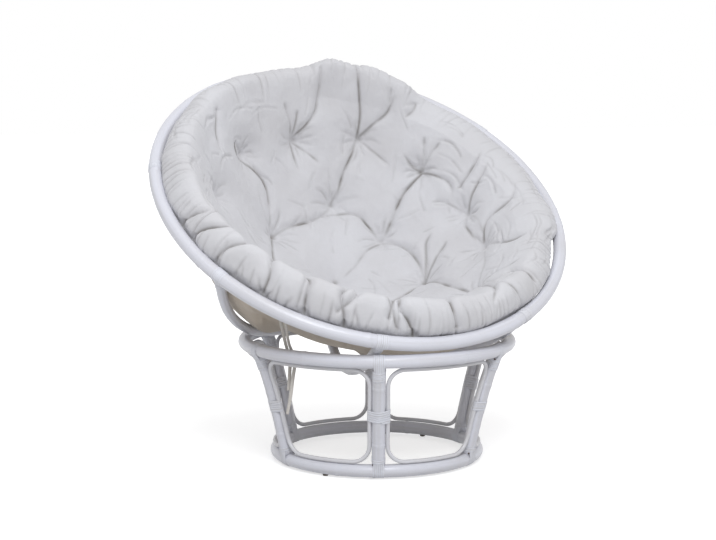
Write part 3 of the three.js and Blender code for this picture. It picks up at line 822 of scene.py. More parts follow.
def lay_strip(bm, stations, width=STRIP_WIDTH, thickness=STRIP_THICKNESS):
    sweep(bm, strip_section(width, thickness), stations)


def strip_stations(places, outs):
    return [station(*three) for three in zip(places, ways_along(places), outs)]


# One strap, from its foot on one face of the pole, over the ring, to its foot on the other face
def strap(pole, at_end, hoop, pole_angle, ring_offset, reach, lift):
    rise = LASHING_GAP + lift
    centre, along, out = pole.frame(pole.length if at_end else 0.0)
    toward = -along if at_end else along
    aside = out.cross(toward)
    grip = hoop.tube + rise
    hold = pole.radius + rise
    x = hold * math.cos(pole_angle)
    side = math.sin(pole_angle)
    tangent = math.atan2(reach, x) - math.acos(grip / math.hypot(x, reach))

    def on_pole(distance, face):
        place, _, here_out = pole.frame(pole.length - distance if at_end else distance)
        spot = place + here_out * face * x + aside * hold * side
        return spot, here_out * face * math.cos(pole_angle) + aside * side

    def on_ring(angle):
        spot = centre + (out * math.cos(angle) + toward * math.sin(angle)) * grip + aside * ring_offset
        away = spot - hoop.centre
        flat = away - hoop.axis * away.dot(hoop.axis)
        core = hoop.centre + flat.normalized() * hoop.radius
        way = (spot - core).normalized()
        return core + way * grip, way

    def straight(face):
        leave, leave_out = on_ring(tangent if face > 0 else -math.pi - tangent)
        start = reach + STRAP_FOOT
        got = [on_pole(start - STRAP_FOOT * k / 4, face) for k in range(5)]
        foot, foot_out = got[-1]
        for t in (k / 7 for k in range(1, 7)):
            got.append((foot.lerp(leave, t), foot_out.lerp(leave_out, t).normalized()))
        return got

    arc = [on_ring(tangent + (-math.pi - 2 * tangent) * k / 14) for k in range(15)]
    places, outs = zip(*(straight(1) + arc + straight(-1)[::-1]))
    return strip_stations(places, outs)


# A strip wound round a pole. hold_at gives its place across the pole and its outward way.
def winding(pole, start, turns, pitch, hold_at, begin, steps=22):
    places, outs = [], []
    for k in range(int(turns * steps) + 1):
        place, along, out = pole.frame(start + pitch * k / steps)
        aside = along.cross(out)
        across, deep, way = hold_at(begin + 2 * math.pi * k / steps)
        places.append(place + out * across + aside * deep)
        outs.append((out * way[0] + aside * way[1]).normalized())
    return strip_stations(places, outs)


# Round a pole, lifted over the straps on its two faces
def over_straps(radius):
    def hold(angle):
        on_strap = smooth_step((abs(math.cos(angle)) - STRAP_COVER) / STRAP_SLOPE)
        lift = LASHING_GAP + (STRIP_THICKNESS + LAYER_GAP) * on_strap
        reach = radius + lift
        return reach * math.cos(angle), reach * math.sin(angle), (math.cos(angle), math.sin(angle))
    return hold


# Round a leg and the cane on both sides of it
def over_canes(angle):
    way = (math.cos(angle), math.sin(angle))
    circles = [(0.0, STAND_POLE), (CANE_ASIDE, CANE), (-CANE_ASIDE, CANE)]
    aside, radius = max(circles, key=lambda c: c[0] * way[1] + c[1])
    reach = radius + SEAT_GAP
    return reach * way[0], aside + reach * way[1], way


def loose_tail(bm, place, along, out, length, curl):
    places, outs = [], []
    for k in range(12):
        t = k / 11
        angle = curl * t
        step = place + along * length * t * math.cos(angle / 2) + out * length * t * math.sin(angle / 2)
        places.append(step)
        outs.append(out * math.cos(angle) - along * math.sin(angle))
    lay_strip(bm, strip_stations(places, outs), STRIP_WIDTH * 0.7, STRIP_THICKNESS * 0.7)


NAILS = {"stand": [], "bowl": []}


# One lashing with its nail, and with a loose end where it has one
def ring_lashing(name, node_name, pole, at_end, hoop, body, fan, turns, seed, tail="none"):
    rng = random.Random(seed)
    bm = bmesh.new()
    near = hoop.tube + STRAP_REACH
    for k in range(STRAPS):
        share = (k + 0.5) / STRAPS * 2 - 1
        angle = share * fan[0] + rng.uniform(-0.02, 0.02)
        offset = share * fan[1] + rng.uniform(-0.0003, 0.0003)
        lay_strip(bm, strap(pole, at_end, hoop, angle, offset, near, rng.uniform(0, 0.00006)))
    pitch = STRIP_WIDTH + STRIP_GAP
    start = near + WINDING_START
    span = turns * pitch
    low = pole.length - start - span if at_end else start
    lay_strip(bm, winding(pole, low, turns, pitch, over_straps(pole.radius), rng.uniform(1.2, 2.0)))
    # This end leaves from the side of the winding, past its middle.
    if tail == "on pole":
        place, along, out = pole.frame(pole.length - start - span * 0.6)
        aside = along.cross(out)
        loose_tail(bm, place + out * (pole.radius * 0.55 + 0.003) + aside * pole.radius * 0.9,
                   (aside * 0.8 - along * 0.6).normalized(), out, RIM_TAIL, RIM_TAIL_CURL)
    # This one lies along the ring's outer side.
    if tail == "on ring":
        place, along, out = pole.frame(0)
        aside = along.cross(out)
        way = (out * 0.6 - along * 0.8).normalized()
        loose_tail(bm, place + way * (hoop.tube + 0.0012) - aside * 0.009,
                   (-along * 0.05 - aside).normalized(), way, FOOT_TAIL, FOOT_TAIL_CURL)
    place, along, out = pole.frame(pole.length - near + NAIL_BEFORE if at_end else near - NAIL_BEFORE)
    turn = NAIL_TURN + rng.uniform(-0.06, 0.06)
    way = (out * math.cos(turn) + along.cross(out) * math.sin(turn)).normalized()
    NAILS[body].append((place + way * pole.radius, way))
    add_piece(name, bm, SKIN_PAINT, body, [node_name])


# A leg and the cane on both sides of it, tied together at mid height
def middle_lashing(i, pole):
    bm = bmesh.new()
    pitch = MIDDLE_STRIP + STRIP_GAP
    turns = MIDDLE_TURNS[i % 2]
    start = leg_reach(MIDDLE_HEIGHT)[0] - pitch * turns / 2
    lay_strip(bm, winding(pole, start, turns, pitch, over_canes, 0.4 + i, steps=36), MIDDLE_STRIP)
    add_piece(f"leg_middle_lashing_{i + 1}", bm, SKIN_PAINT, "stand",
              [f"leg_middle_binding_{i + 1}"])


def lashings():
    for i, azimuth in enumerate(LEG_AZIMUTHS):
        pole = leg_pole(azimuth, seed=11 + i)
        ring_lashing(f"leg_top_lashing_{i + 1}", f"leg_top_binding_{i + 1}", pole, True, TOP_HOOP,
                     "stand", LEG_FAN, LEG_TOP_TURNS, 41 + i)
        ring_lashing(f"leg_foot_lashing_{i + 1}", f"leg_foot_binding_{i + 1}", pole, False,
                     FOOT_HOOP, "stand", LEG_FAN, LEG_FOOT_TURNS, 51 + i,
                     tail="on ring" if i in (0, 3) else "none")
        middle_lashing(i, pole)
    for i, azimuth in enumerate(RIB_AZIMUTHS):
        ring_lashing(f"rim_lashing_{i + 1}", f"rim_binding_{i + 1}", rib_pole(azimuth, seed=21 + i),
                     True, RIM_HOOP, "bowl", RIM_FAN, RIM_TURNS, 61 + i,
                     tail="on pole" if i == 2 else "none")


# Flat nail heads: one beside each lashing, and one beside each scarf joint
def nails():
    for at in SCARF_NAILS:
        place, _, out = RIM.frame(at)
        way = (-out * 0.3 + (BOWL.to_3x3() @ Vector((0, 0, -1)))).normalized()
        NAILS["bowl"].append((place + way * RIM_POLE, way))
    for body, spots in NAILS.items():
        bm = bmesh.new()
        for place, way in spots:
            turn = way.to_track_quat("Z", "Y").to_matrix().to_4x4()
            flat = Matrix.Diagonal((1, 1, NAIL_FLATNESS, 1))
            bmesh.ops.create_uvsphere(bm, u_segments=12, v_segments=6, radius=NAIL_RADIUS,
                                      matrix=Matrix.Translation(place) @ turn @ flat)
        add_piece(f"{body}_nails", bm, STEEL, body)


lashings()
nails()


# Glides: a domed foot with a rounded edge, turned from its outline of radius and height
GLIDE_OUTLINE = [(0.0, 0.0), (0.0046, 0.0), (0.0061, 0.0005), (0.0068, 0.0014), (0.007, 0.0026),
                 (0.007, 0.0042), (0.0066, 0.0047), (0.0, 0.0047)]


def glides():
    for i, azimuth in enumerate(GLIDE_AZIMUTHS):
        bm = bmesh.new()
        verts = [bm.verts.new((radius, 0, height)) for radius, height in GLIDE_OUTLINE]
        edges = [bm.edges.new((a, b)) for a, b in zip(verts, verts[1:])]
        bmesh.ops.spin(bm, geom=verts + edges, cent=(0, 0, 0), axis=(0, 0, 1), angle=2 * math.pi,
                       steps=24, use_merge=True)
        bmesh.ops.remove_doubles(bm, verts=bm.verts, dist=0.00001)
        place = STAND @ polar(BOTTOM_RING_RADIUS, azimuth)
        bmesh.ops.translate(bm, vec=place, verts=bm.verts)
        add_piece(f"glide_foot_{i + 1}", bm, RUBBER, "stand", [f"glide_{i + 1}"])


glides()


# Cushion. Its seat lies this far inside the ribs.
CUSHION_THICKNESS = 0.118
SEAT = RIB_INNER - CUSHION_THICKNESS
# How far the roll stands above the middle of the rim, in millimetres, by azimuth
ROLL_RISES = [(0, 74), (30, 64), (55, 50), (75, 44), (88, 36), (100, 32), (132, 31), (140, 38),
              (147, 80), (156, 85), (164, 88), (167, 92), (171, 104), (175, 101), (178, 76), (181, 59),
              (190, 61), (205, 69), (218, 74), (250, 70), (280, 76), (300, 88), (325, 86), (345, 80),
              (360, 74)]
# Heights above the middle of the rim: of the roll in the outline below, and of where it starts
PLAIN_RISE = 0.062
ROLL_FOOT = 0.01
# Near this azimuth the roll draws back from the rim and leaves a gap to see through: azimuth,
# reach in degrees and depth. It starts this far from the bowl's axis, with a ramp.
ROLL_GAP = (59, 11, 0.016)
ROLL_GAP_FROM, ROLL_GAP_RAMP = 0.44, 0.06
# Where the underside is lifted: between two azimuths, each with its ramp in degrees, and outwards
# from a distance to the bowl's axis, with its ramp
LIFTED_PARTS = [(225, 20, 290, 14, 0.36, 0.1), (310, 8, 352, 14, 0.1, 0.08)]
# Tufts, as distance along the top from its middle, and azimuth
OUTER_TUFTS = [(0.412, 9), (0.409, 42), (0.402, 75), (0.399, 97), (0.404, 128), (0.425, 158),
               (0.41, 187), (0.419, 216), (0.412, 249), (0.412, 279), (0.412, 309), (0.412, 339)]
INNER_TUFTS = [(0.228, 68), (0.19, 123), (0.238, 167), (0.196, 226), (0.205, 294), (0.205, 354)]
ALL_TUFTS = [(0.0, 0.0)] + INNER_TUFTS + OUTER_TUFTS
# Cells across the cloth, and the outline's steps on the top and on the underside
CLOTH_CELLS = 400
TOP_STEP, UNDER_STEP = 0.003, 0.008


# The line again, in equal steps, and how far along it each of its points lies
def even(line, step):
    line = np.array(line)
    reach = np.concatenate([[0], np.cumsum(np.linalg.norm(np.diff(line, axis=0), axis=1))])
    marks = np.linspace(0, reach[-1], int(round(reach[-1] / step)) + 1)
    return np.stack([np.interp(marks, reach, line[:, k]) for k in (0, 1)], axis=1), marks


# The seat and the underside follow spheres between these angles from the bowl's axis.
SEAT_ANGLES = np.linspace(0, 57.2, 24)
UNDER_ANGLES = np.linspace(66.5, 18.5, 26)
RIBS_CLEARANCE = 0.0008


# The outline of the cushion, as distance from the bowl's axis and height from the sphere's
# centre: the top from the middle outwards, then the underside back to the middle.
def cushion_outline():
    def on_sphere(radius, angle):
        return radius * math.sin(math.radians(angle)), -radius * math.cos(math.radians(angle))

    top = [on_sphere(SEAT, a) for a in SEAT_ANGLES]
    top += [(0.3974, -0.1746), (0.4330, -0.1250), (0.4560, -0.1010), (0.474, -0.0966),
            (0.494, -0.1030), (0.510, -0.1170), (0.5195, -0.1330), (0.5185, -0.1440),
            (0.5128, -0.1586), (0.5143, -0.167)]
    under = top[-1:] + [on_sphere(RIB_INNER - RIBS_CLEARANCE, a) for a in UNDER_ANGLES]
    under += [(0.15, -0.4960), (0.1, -0.4962), (0.05, -0.4962), (0.0, -0.4962)]
    return top, under


# The cushion before the tufts draw it in. A place on it is a distance along the outline from the
# middle of the top, and an azimuth.
class Skin:
    def __init__(self):
        top, under = cushion_outline()
        upper, upper_marks = even(spline(np.array(top), 6), TOP_STEP)
        lower, lower_marks = even(spline(np.array(under), 4), UNDER_STEP)
        self.line = np.concatenate([upper, lower[1:]])
        self.marks = np.concatenate([upper_marks, upper_marks[-1] + lower_marks[1:]])
        self.edge = upper_marks[-1]
        slope = np.gradient(self.line, axis=0)
        slope /= np.linalg.norm(slope, axis=1)[:, None]
        self.normal = np.stack([-slope[:, 1], slope[:, 0]], axis=1)
        azimuths, rises = zip(*ROLL_RISES)
        every = np.arange(-40, 401)
        rises = np.interp(every, np.array(azimuths), np.array(rises), period=360)
        rounded = np.ones(5) / 5
        self.every = every[2:-2]
        self.rises = np.convolve(rises, rounded, mode="valid") * 0.001

    def points(self, along, azimuth, inwards=0.0):
        azimuth = np.asarray(azimuth, dtype=float)
        r = np.interp(along, self.marks, self.line[:, 0])
        h = np.interp(along, self.marks, self.line[:, 1])
        r = r - np.interp(along, self.marks, self.normal[:, 0]) * inwards
        h = h - np.interp(along, self.marks, self.normal[:, 1]) * inwards
        foot = RIM_HEIGHT + ROLL_FOOT
        rise = np.interp(azimuth % 360, self.every, self.rises)
        share = (rise - ROLL_FOOT) / (PLAIN_RISE - ROLL_FOOT)
        h = np.where(h > foot, foot + (h - foot) * share, h)
        middle, reach, deep = ROLL_GAP
        away = np.abs(turn_to(middle, azimuth)) / reach
        r = r - deep * smooth_step(1.6 * (1 - away)) * smooth_step((r - ROLL_GAP_FROM) / ROLL_GAP_RAMP)
        shrink = 1 - UNDERSIDE_LIFT * self.lifted(along, azimuth % 360, r) / RIB_INNER
        r, h = r * shrink, h * shrink
        a = np.radians(azimuth)
        return np.stack([r * np.sin(a), -r * np.cos(a), h], axis=-1)

    # How far a place belongs to a lifted part of the underside, 0 to 1
    def lifted(self, along, azimuth, r):
        lifted = np.zeros(len(r))
        for low, low_ramp, high, high_ramp, inner, inner_ramp in LIFTED_PARTS:
            side = smooth_step((azimuth - low) / low_ramp + 0.5) \
                * smooth_step((high - azimuth) / high_ramp + 0.5)
            lifted = np.maximum(lifted, side * smooth_step((r - inner) / inner_ramp))
        return lifted * smooth_step((along - self.edge) / 0.03)


# A square grid pressed into a disc, so that no corner of the cloth has more than a few faces
def disc(bm, along_at, along_layer, turn_layer):
    made = bmesh.ops.create_grid(bm, x_segments=CLOTH_CELLS, y_segments=CLOTH_CELLS, size=1)["verts"]
    for vert in made:
        x, y = vert.co.x, vert.co.y
        if abs(x) > abs(y):
            radius, angle = x, math.pi / 4 * y / x
        elif abs(y) > 0:
            radius, angle = y, math.pi / 2 - math.pi / 4 * x / y
        else:
            radius, angle = 0.0, 0.0
        turn = math.degrees(angle) + (180 if radius < 0 else 0)
        vert[along_layer] = along_at(abs(radius))
        vert[turn_layer] = turn % 360


def cushion_grid(skin):
    bm = bmesh.new()
    along_layer = bm.verts.layers.float.new("along")
    turn_layer = bm.verts.layers.float.new("turn")
    edge, end = skin.edge, skin.marks[-1]
    disc(bm, lambda share: edge * share, along_layer, turn_layer)
    disc(bm, lambda share: end + (edge - end) * share, along_layer, turn_layer)
    along = np.array([v[along_layer] for v in bm.verts])
    turn = np.array([v[turn_layer] for v in bm.verts])
    for vert, place in zip(bm.verts, skin.points(along, turn)):
        vert.co = place
    bmesh.ops.remove_doubles(bm, verts=bm.verts, dist=0.00002)
    return bm


# Creases of the top, each as depth and width in millimetres, and its places on the skin:
# millimetres from the middle along the skin, and azimuth. They were chosen one by one.
CREASES = [
    (10, 6, [(413, 189), (470, 190), (524, 192)]),
    (9, 6, [(413, 189), (461, 187), (500, 186)]),
    (13, 7, [(413, 189), (455, 182), (497, 178), (575, 177)]),
    (9, 7, [(413, 189), (380, 183), (347, 176)]),
    (9, 7, [(413, 189), (362, 189), (317, 188)]),
    (13, 7, [(425, 159), (500, 160), (572, 163), (640, 165)]),
    (11, 7, [(425, 159), (476, 154), (518, 150), (575, 149)]),
    (15, 8, [(425, 159), (383, 160), (320, 163), (249, 165)]),
    (7, 6, [(425, 159), (398, 148), (380, 140)]),
    (15, 7, [(467, 220), (428, 220), (332, 212), (267, 216), (198, 230)]),
    (9, 5, [(404, 127), (407, 132), (430, 138)]),
    (10, 7, [(404, 127), (455, 130), (500, 133)]),
    (10, 7, [(404, 127), (461, 127), (509, 126)]),
    (11, 6, [(404, 127), (419, 120), (425, 112), (401, 105)]),
    (16, 8, [(404, 127), (308, 128), (183, 121)]),
    (9, 6, [(401, 97), (380, 107), (355, 113)]),
    (11, 6, [(401, 97), (461, 101), (560, 106)]),
    (11, 6, [(401, 97), (383, 92), (392, 78)]),
    (12, 5, [(434, 107), (476, 108), (569, 111)]),
    (17, 8, [(198, 230), (183, 194), (198, 178), (215, 172), (237, 168), (305, 163)]),
    (15, 8, [(198, 178), (219, 152), (201, 137), (183, 121)]),
    (10, 7, [(183, 121), (105, 121), (18, 100)]),
    (17, 8, [(183, 121), (210, 104), (225, 84), (228, 68)]),
    (9, 6, [(228, 68), (246, 81), (267, 94), (300, 98)]),
    (9, 6, [(228, 68), (279, 81), (326, 88)]),
    (13, 6, [(404, 77), (446, 84), (527, 86), (580, 92)]),
    (12, 5, [(404, 75), (480, 66), (560, 64)]),
    (13, 5, [(539, 41), (600, 40), (655, 40)]),
    (14, 6, [(407, 43), (520, 32), (640, 18)]),
    (9, 5, [(560, 28), (640, 30), (690, 31)]),
    (12, 6, [(688, 312), (647, 312), (600, 310), (540, 309)]),
    (13, 5, [(690, 324), (640, 323), (602, 322), (560, 316)]),
    (12, 5, [(658, 332), (610, 336), (560, 338)]),
    (14, 4, [(697, 335), (660, 334), (620, 332), (580, 334)]),
    (12, 5, [(650, 346), (600, 347), (540, 349)]),
    (16, 5, [(697, 354), (653, 352), (614, 349), (560, 350)]),
    (14, 5, [(671, 6), (620, 5), (540, 6)]),
    (9, 4, [(676, 349), (632, 347), (580, 345)]),
    (10, 6, [(569, 224), (520, 229), (470, 233)]),
    (9, 5, [(600, 177), (569, 177), (533, 177)]),
    (8, 5, [(572, 151), (539, 150)]),
    (8, 5, [(580, 141), (551, 141), (520, 143)]),
    (11, 5, [(698, 279), (650, 281), (600, 284)]),
    (13, 5, [(698, 286), (655, 287), (610, 291), (570, 292)]),
    (11, 5, [(690, 296), (650, 297), (600, 300), (540, 302)]),
]


# The same creases, with their places in metres
def hand_creases():
    return [(deep, width, [(along * 0.001, azimuth) for along, azimuth in places])
            for deep, width, places in CREASES]


# Between these azimuths the creases above hold all that the top needs, out to the roll and in the
# ring of the inner tufts.
HAND_DRAWN = (60, 262)
HAND_DRAWN_INNER = (60, 200)
# An inner and an outer tuft are joined when their azimuths differ by less than this.
JOINED_TUFTS = 32
# The fold that joins two inner tufts passes this far from the middle; the outer ones likewise.
INNER_PASS, OUTER_PASS = 0.19, 0.425


def needs_creases(azimuth, drawn=HAND_DRAWN):
    return not drawn[0] < azimuth < drawn[1]


# A crease from one tuft to the next one round the top
def between_tufts(deep, width, tufts, i, passing):
    inner, azimuth = tufts[i % len(tufts)]
    follows, follow_azimuth = tufts[(i + 1) % len(tufts)]
    turn = (follow_azimuth - azimuth) % 360
    return deep, width, [(inner, azimuth), (passing, azimuth + turn / 2), (follows, azimuth + turn)]


# Creases between the tufts, and out over the roll, where the list above has none
def more_creases(rng):
    creases = []
    for i, (inner, azimuth) in enumerate(INNER_TUFTS):
        for outer, outer_azimuth in OUTER_TUFTS:
            apart = abs(turn_to(azimuth, outer_azimuth))
            if apart < JOINED_TUFTS and needs_creases(outer_azimuth):
                halfway = outer_azimuth + turn_to(outer_azimuth, azimuth) * 0.35
                creases.append((13, 8, [(inner, azimuth), ((inner + outer) / 2, halfway),
                                        (outer, outer_azimuth)]))
        if needs_creases(azimuth, HAND_DRAWN_INNER):
            creases.append(between_tufts(12, 8, INNER_TUFTS, i, INNER_PASS))
    creases += [between_tufts(4, 9, OUTER_TUFTS, i, OUTER_PASS) for i in range(9, 15)]
    for outer, azimuth in OUTER_TUFTS:
        if needs_creases(azimuth):
            for side in (-7, 6):
                lean = side + rng.uniform(-2, 2)
                creases.append((rng.uniform(8, 11), rng.uniform(5, 7),
                                [(outer, azimuth), (outer + 0.06, azimuth + lean * 0.5),
                                 (rng.uniform(0.53, 0.6), azimuth + lean)]))
    return creases


# Shallow puckers. Each kind gives folds as depth and width in millimetres, and places in metres
# along the skin and azimuth.
RAY_START = 0.016
SIDE_PLEATS = [(36, 128, 34), (196, 292, 26)]
FINE_FOLDS = 90


# Rays round each tuft
def tuft_rays(rng):
    folds = []
    for along, azimuth in OUTER_TUFTS + INNER_TUFTS:
        turn = rng.uniform(0, 40)
        while turn < 360:
            reach = rng.uniform(0.035, 0.085)
            way = math.radians(turn)
            bend = way + rng.uniform(-0.25, 0.25)
            places = [(along + d * math.cos(w), azimuth + math.degrees(d * math.sin(w) / max(along, 0.1)))
                      for d, w in ((RAY_START, way), ((RAY_START + reach) / 2, way), (reach, bend))]
            folds.append((rng.uniform(1.6, 3.6), rng.uniform(4, 6.5), places))
            turn += rng.uniform(22, 46)
    return folds


# Gathers that run up from the rim, shorter and less even at the front
def rim_gathers(rng):
    folds = []
    azimuth = 0.0
    while azimuth < 360:
        azimuth += rng.uniform(1.3, 3.6)
        front = azimuth > 295 or azimuth < 35
        lengths, depths = ((0.03, 0.1), (0.8, 4.2)) if front else ((0.05, 0.17), (1.5, 3.6))
        low = rng.uniform(0.675, 0.7)
        high = low - rng.uniform(*lengths)
        drift = rng.uniform(-2.5, 2.5)
        folds.append((rng.uniform(*depths), rng.uniform(3.2, 5.2),
                      [(low, azimuth), ((low + high) / 2, azimuth + drift * 0.3),
                       (high, azimuth + drift)]))
    return folds


# Arched pleats that cross the roll at its sides
def side_pleats(rng):
    folds = []
    for low_side, high_side, count in SIDE_PLEATS:
        for _ in range(count):
            azimuth, along = rng.uniform(low_side, high_side), rng.uniform(0.45, 0.655)
            reach, bow = rng.uniform(3.5, 9), rng.uniform(0.006, 0.022)
            folds.append((rng.uniform(1.6, 3.4), rng.uniform(3.4, 5.5),
                          [(along - bow, azimuth - reach), (along, azimuth),
                           (along - bow, azimuth + reach)]))
    return folds


# Short folds in any direction
def fine_folds(rng):
    folds = []
    for _ in range(FINE_FOLDS):
        azimuth, along = rng.uniform(0, 360), rng.uniform(0.1, 0.6)
        reach, turn = rng.uniform(0.02, 0.05), rng.uniform(-1.1, 1.1)
        rise, run = reach * math.cos(turn), math.degrees(reach * math.sin(turn) / along)
        folds.append((rng.uniform(1.0, 2.4), rng.uniform(3.4, 6),
                      [(along - rise, azimuth - run), (along, azimuth + rng.uniform(-1.5, 1.5)),
                       (along + rise, azimuth + run)]))
    return folds


def puckers(rng):
    return tuft_rays(rng) + rim_gathers(rng) + side_pleats(rng) + fine_folds(rng)


# The places near a fold: their numbers, their distance to it, and their share of the way along it
def near_fold(base, skin, places, reach):
    along, turn = np.array(places, dtype=float).T
    turn = np.degrees(np.unwrap(np.radians(turn)))
    way = np.array(spline(np.stack([along, turn], axis=1), 8))
    line = skin.points(way[:, 0], way[:, 1])
    low, high = line.min(axis=0) - reach, line.max(axis=0) + reach
    near = np.where(np.all((base > low) & (base < high), axis=1))[0]
    spots = base[near]
    best = np.full(len(near), 9.0)
    share = np.zeros(len(near))
    for k in range(len(line) - 1):
        a, b = line[k], line[k + 1]
        t = np.clip(((spots - a) @ (b - a)) / max(np.dot(b - a, b - a), 1e-12), 0, 1)
        away = np.linalg.norm(spots - a - t[:, None] * (b - a), axis=1)
        closer = away < best
        best[closer] = away[closer]
        share[closer] = (k + t[closer]) / (len(line) - 1)
    return near, best, share


# Tufts and creases draw the top in as a wide valley with a sharp bottom; of those that meet, the
# deepest counts most, by this power.
DEEPEST_POWER = 3.0
TUFT_DEPTH, TUFT_REACH = 0.034, 0.034
# Widths of the darkening, dust with painted shade, at tufts, creases and puckers
TUFT_DUST_SHADE_REACH = 0.007
CREASE_DUST_SHADE_REACH, PUCKER_DUST_SHADE_REACH = 0.0034, 0.003


# Gives the depth at each place, the dust and painted shade in the bottoms, and the distance to the
# nearest tuft.
def drawn_in(base, skin):
    rng = random.Random(5)
    total = np.zeros(len(base))
    dust_and_shade = np.zeros(len(base))
    nearest = np.full(len(base), 9.0)
    for along, azimuth in ALL_TUFTS:
        place = skin.points(np.array([along]), np.array([float(azimuth)]))[0]
        away = np.linalg.norm(base - place, axis=1)
        nearest = np.minimum(nearest, away)
        total += (TUFT_DEPTH * np.exp(-(away / TUFT_REACH) ** 1.1)) ** DEEPEST_POWER
        dust_and_shade = np.maximum(dust_and_shade, 0.9 * np.exp(-(away / TUFT_DUST_SHADE_REACH) ** 2))
    for deep, width, places in hand_creases() + more_creases(rng):
        deep, width = deep * 0.001, width * 0.001
        near, away, share = near_fold(base, skin, places, 5 * width)
        fade = smooth_step(np.minimum(share / 0.05 + 0.5, (1 - share) / 0.3))
        valley = 0.5 * np.exp(-(away / (2.3 * width)) ** 2) + 0.5 * np.exp(-away / (0.75 * width))
        total[near] += (deep * fade * valley) ** DEEPEST_POWER
        line = np.exp(-(away / CREASE_DUST_SHADE_REACH) ** 2) * fade * min(deep / 0.014, 1)
        dust_and_shade[near] = np.maximum(dust_and_shade[near], line)
    depth = total ** (1 / DEEPEST_POWER)
    for deep, width, places in puckers(rng):
        deep, width = deep * 0.001, width * 0.001
        near, away, share = near_fold(base, skin, places, 4 * width)
        fade = smooth_step(np.minimum(share / 0.15 + 0.2, (1 - share) / 0.5))
        groove = np.exp(-away / (0.8 * width)) - 0.3 * np.exp(-((away - 1.7 * width) / width) ** 2)
        depth[near] += deep * fade * groove
        line = 0.45 * np.exp(-(away / PUCKER_DUST_SHADE_REACH) ** 2) * fade * min(deep / 0.005, 1)
        dust_and_shade[near] = np.maximum(dust_and_shade[near], line)
    return depth, dust_and_shade, nearest


# The underside is drawn in a little where the tufts are stitched through, with rays round each
# stitch, and is uneven between.
STITCH_DEPTH, STITCH_REACH = 0.017, 0.05
RAY_COUNT, RAY_SHARE, RAY_MIDDLE, RAY_RAMP = 9, 0.22, 0.045, 0.03


def drawn_up(places, skin):
    ways = places / np.linalg.norm(places, axis=1)[:, None]
    depth = np.zeros(len(places))
    for along, azimuth in ALL_TUFTS:
        tuft = skin.points(np.array([along]), np.array([float(azimuth)]))[0]
        way = tuft / np.linalg.norm(tuft)
        away = ways - way
        reach = np.linalg.norm(away, axis=1) * RIB_INNER
        turn = np.arctan2(away @ np.cross(way, (0.1, 0.2, 0.97)), away @ np.array((0.3, -0.2, 0.1)))
        near_ray = np.exp(-((reach - RAY_MIDDLE) / RAY_RAMP) ** 2)
        rays = 1 + RAY_SHARE * np.cos(RAY_COUNT * turn + azimuth) * near_ray
        depth = np.maximum(depth, STITCH_DEPTH * rays * np.exp(-(reach / STITCH_REACH) ** 1.3))
    uneven = np.array([noise.noise(Vector(p) * 8) * 0.003 + noise.noise(Vector(p) * 21) * 0.0012
                       for p in places])
    return depth + np.maximum(uneven + 0.002, 0)


# Between the tufts the seat swells; the lumps are noise of three sizes.
SWELL, SWELL_REACH = 0.009, 0.07
LUMP_SCALES = (9, 22, 60)
LUMP_DEPTHS = (0.004, 0.002, 0.0006)
ROLL_LUMPS = 0.005
# How far below the edge the underside starts to be drawn in
UNDER_FROM, UNDER_RAMP = 0.012, 0.05


def cushion():
    skin = Skin()
    bm = cushion_grid(skin)
    layers = bm.verts.layers.float
    base = np.array([v.co for v in bm.verts])
    along = np.array([v[layers["along"]] for v in bm.verts])
    azimuth = np.array([v[layers["turn"]] for v in bm.verts])
    edge = skin.edge
    moved = base.copy()

    top = np.where(along < edge + 0.001)[0]
    depth, dust_and_shade, nearest = drawn_in(base[top], skin)
    seat = 1 - smooth_step((along[top] - 0.38) / 0.16)
    roll = smooth_step((along[top] - 0.47) / 0.06)
    swell = SWELL * (1 - np.exp(-(nearest / SWELL_REACH) ** 2)) * seat
    lumps = np.array([[noise.noise(Vector(p) * scale) for scale in LUMP_SCALES] for p in base[top]])
    depth += -swell + lumps @ np.array(LUMP_DEPTHS) + roll * lumps[:, 0] * ROLL_LUMPS
    ramp = np.clip((edge - along[top]) / 0.02, 0, 1)
    moved[top] = skin.points(along[top], azimuth[top], depth * ramp)

    below = np.where(along > edge + UNDER_FROM)[0]
    ramp = smooth_step((along[below] - edge - UNDER_FROM) / UNDER_RAMP)
    rise = drawn_up(base[below], skin) * ramp
    moved[below] = base[below] * (1 - rise / RIB_INNER)[:, None]

    # Dust with painted shade in the bottoms of tufts, creases and puckers, and the underside's painted
    # shade
    soiled_and_shaded = layers.new("crease_dust_and_shade")
    shade = layers.new("underside")
    marks = np.zeros(len(base))
    marks[top] = dust_and_shade * np.clip(0.75 + 1.6 * lumps[:, 1], 0.25, 1)
    # The share of the underside's painted shade, from the edge of the top downwards
    under = smooth_step((along - edge) / 0.02)
    for vert, place, mark, share in zip(bm.verts, moved, marks, under):
        vert.co = BOWL @ Vector(place)
        vert[soiled_and_shaded] = mark
        vert[shade] = share
    piece = add_piece("seat_cushion", bm, COTTON, "cushion", ["cushion"])

    mesh = piece.data
    corners = np.empty(len(mesh.loops), dtype=np.int32)
    mesh.loops.foreach_get("vertex_index", corners)
    turn = np.radians(azimuth)
    flat = np.stack([along * np.sin(turn), along * np.cos(turn)], axis=1)
    mesh.uv_layers.new(name="cloth").data.foreach_set("uv", flat[corners].ravel())


cushion()


# Floor, sky and lamps. The floor glows to white for the camera, from one distance to another.
FLOOR_SIZE = 30
FLOOR_GREY = (0.64, 0.64, 0.64, 1)
FLOOR_NEAR, FLOOR_FAR = 0.5, 2.0
FLOOR_GLOW_NEAR, FLOOR_GLOW_FAR = 0.6, 1.0
SKY_FILL = (0.985, 0.985, 1.0, 1)
SKY_STRENGTH = 0.68
WHITE = (1, 1, 1, 1)
LAMP_TARGET = Vector((0, -0.1, 0.6))
# Name, place, size, power and colour
LAMPS = [("key", (-1.0, -3.1, 3.0), 1.4, 70, (0.96, 0.975, 1.0)),
         ("top", (-0.2, -0.9, 3.6), 2.0, 14, (0.96, 0.98, 1.0))]


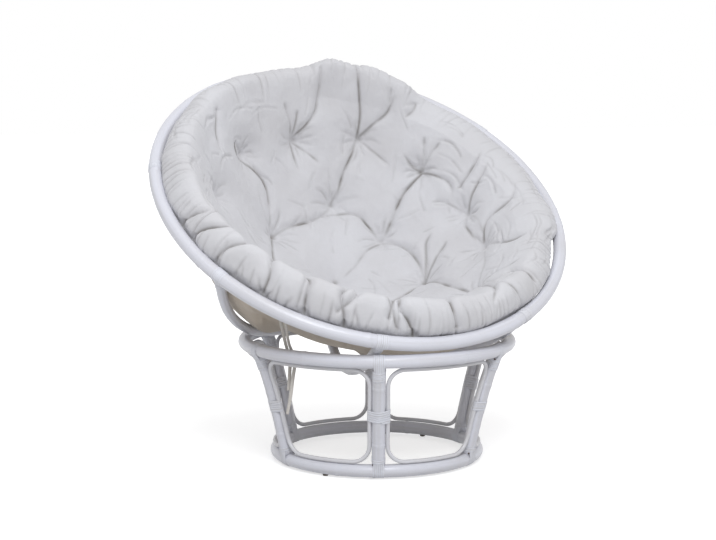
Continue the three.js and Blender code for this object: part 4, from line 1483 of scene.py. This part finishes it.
def pale_floor():
    bm = bmesh.new()
    bmesh.ops.create_grid(bm, x_segments=1, y_segments=1, size=FLOOR_SIZE)
    mesh = bpy.data.meshes.new("floor")
    bm.to_mesh(mesh)
    bm.free()
    floor = bpy.data.objects.new("floor", mesh)
    scene.collection.objects.link(floor)
    material, tree, shader = new_material("pale_floor", 1.0)
    shader["Base Color"].default_value = FLOOR_GREY
    shader["Specular IOR Level"].default_value = 0.0
    shader["Emission Color"].default_value = WHITE
    seen = node(tree, "LightPath").outputs
    straight = math_node(tree, "MAXIMUM", seen["Is Camera Ray"], seen["Is Glossy Ray"])
    place = node(tree, "TexCoord").outputs["Object"]
    away = node(tree, "VectorMath", {0: place}, operation="LENGTH").outputs["Value"]
    glow = between(tree, away, FLOOR_NEAR, FLOOR_FAR, FLOOR_GLOW_NEAR, FLOOR_GLOW_FAR)
    feed(tree, shader["Emission Strength"], times(tree, straight, glow))
    mesh.materials.append(material)


def sky():
    world = bpy.data.worlds.new("studio")
    scene.world = world
    world.use_nodes = True
    tree = world.node_tree
    tree.nodes.clear()
    fill = node(tree, "Background", {"Color": SKY_FILL, "Strength": SKY_STRENGTH})
    white = node(tree, "Background", {"Color": WHITE, "Strength": 1.0})
    seen = node(tree, "LightPath").outputs
    straight = math_node(tree, "MAXIMUM", seen["Is Camera Ray"], seen["Is Glossy Ray"])
    straight = math_node(tree, "MAXIMUM", straight, seen["Is Transmission Ray"])
    mixed = node(tree, "MixShader", {0: straight, 1: fill.outputs[0], 2: white.outputs[0]})
    node(tree, "OutputWorld", {0: mixed.outputs[0]})


def lamps():
    for name, place, size, power, colour in LAMPS:
        data = bpy.data.lights.new(name, "AREA")
        data.shape = "DISK"
        data.size = size
        data.energy = power
        data.color = colour
        light = bpy.data.objects.new(name, data)
        light.location = place
        light.rotation_euler = (LAMP_TARGET - Vector(place)).to_track_quat("-Z", "Y").to_euler()
        scene.collection.objects.link(light)


pale_floor()
sky()
lamps()
scene.view_settings.view_transform = "Standard"
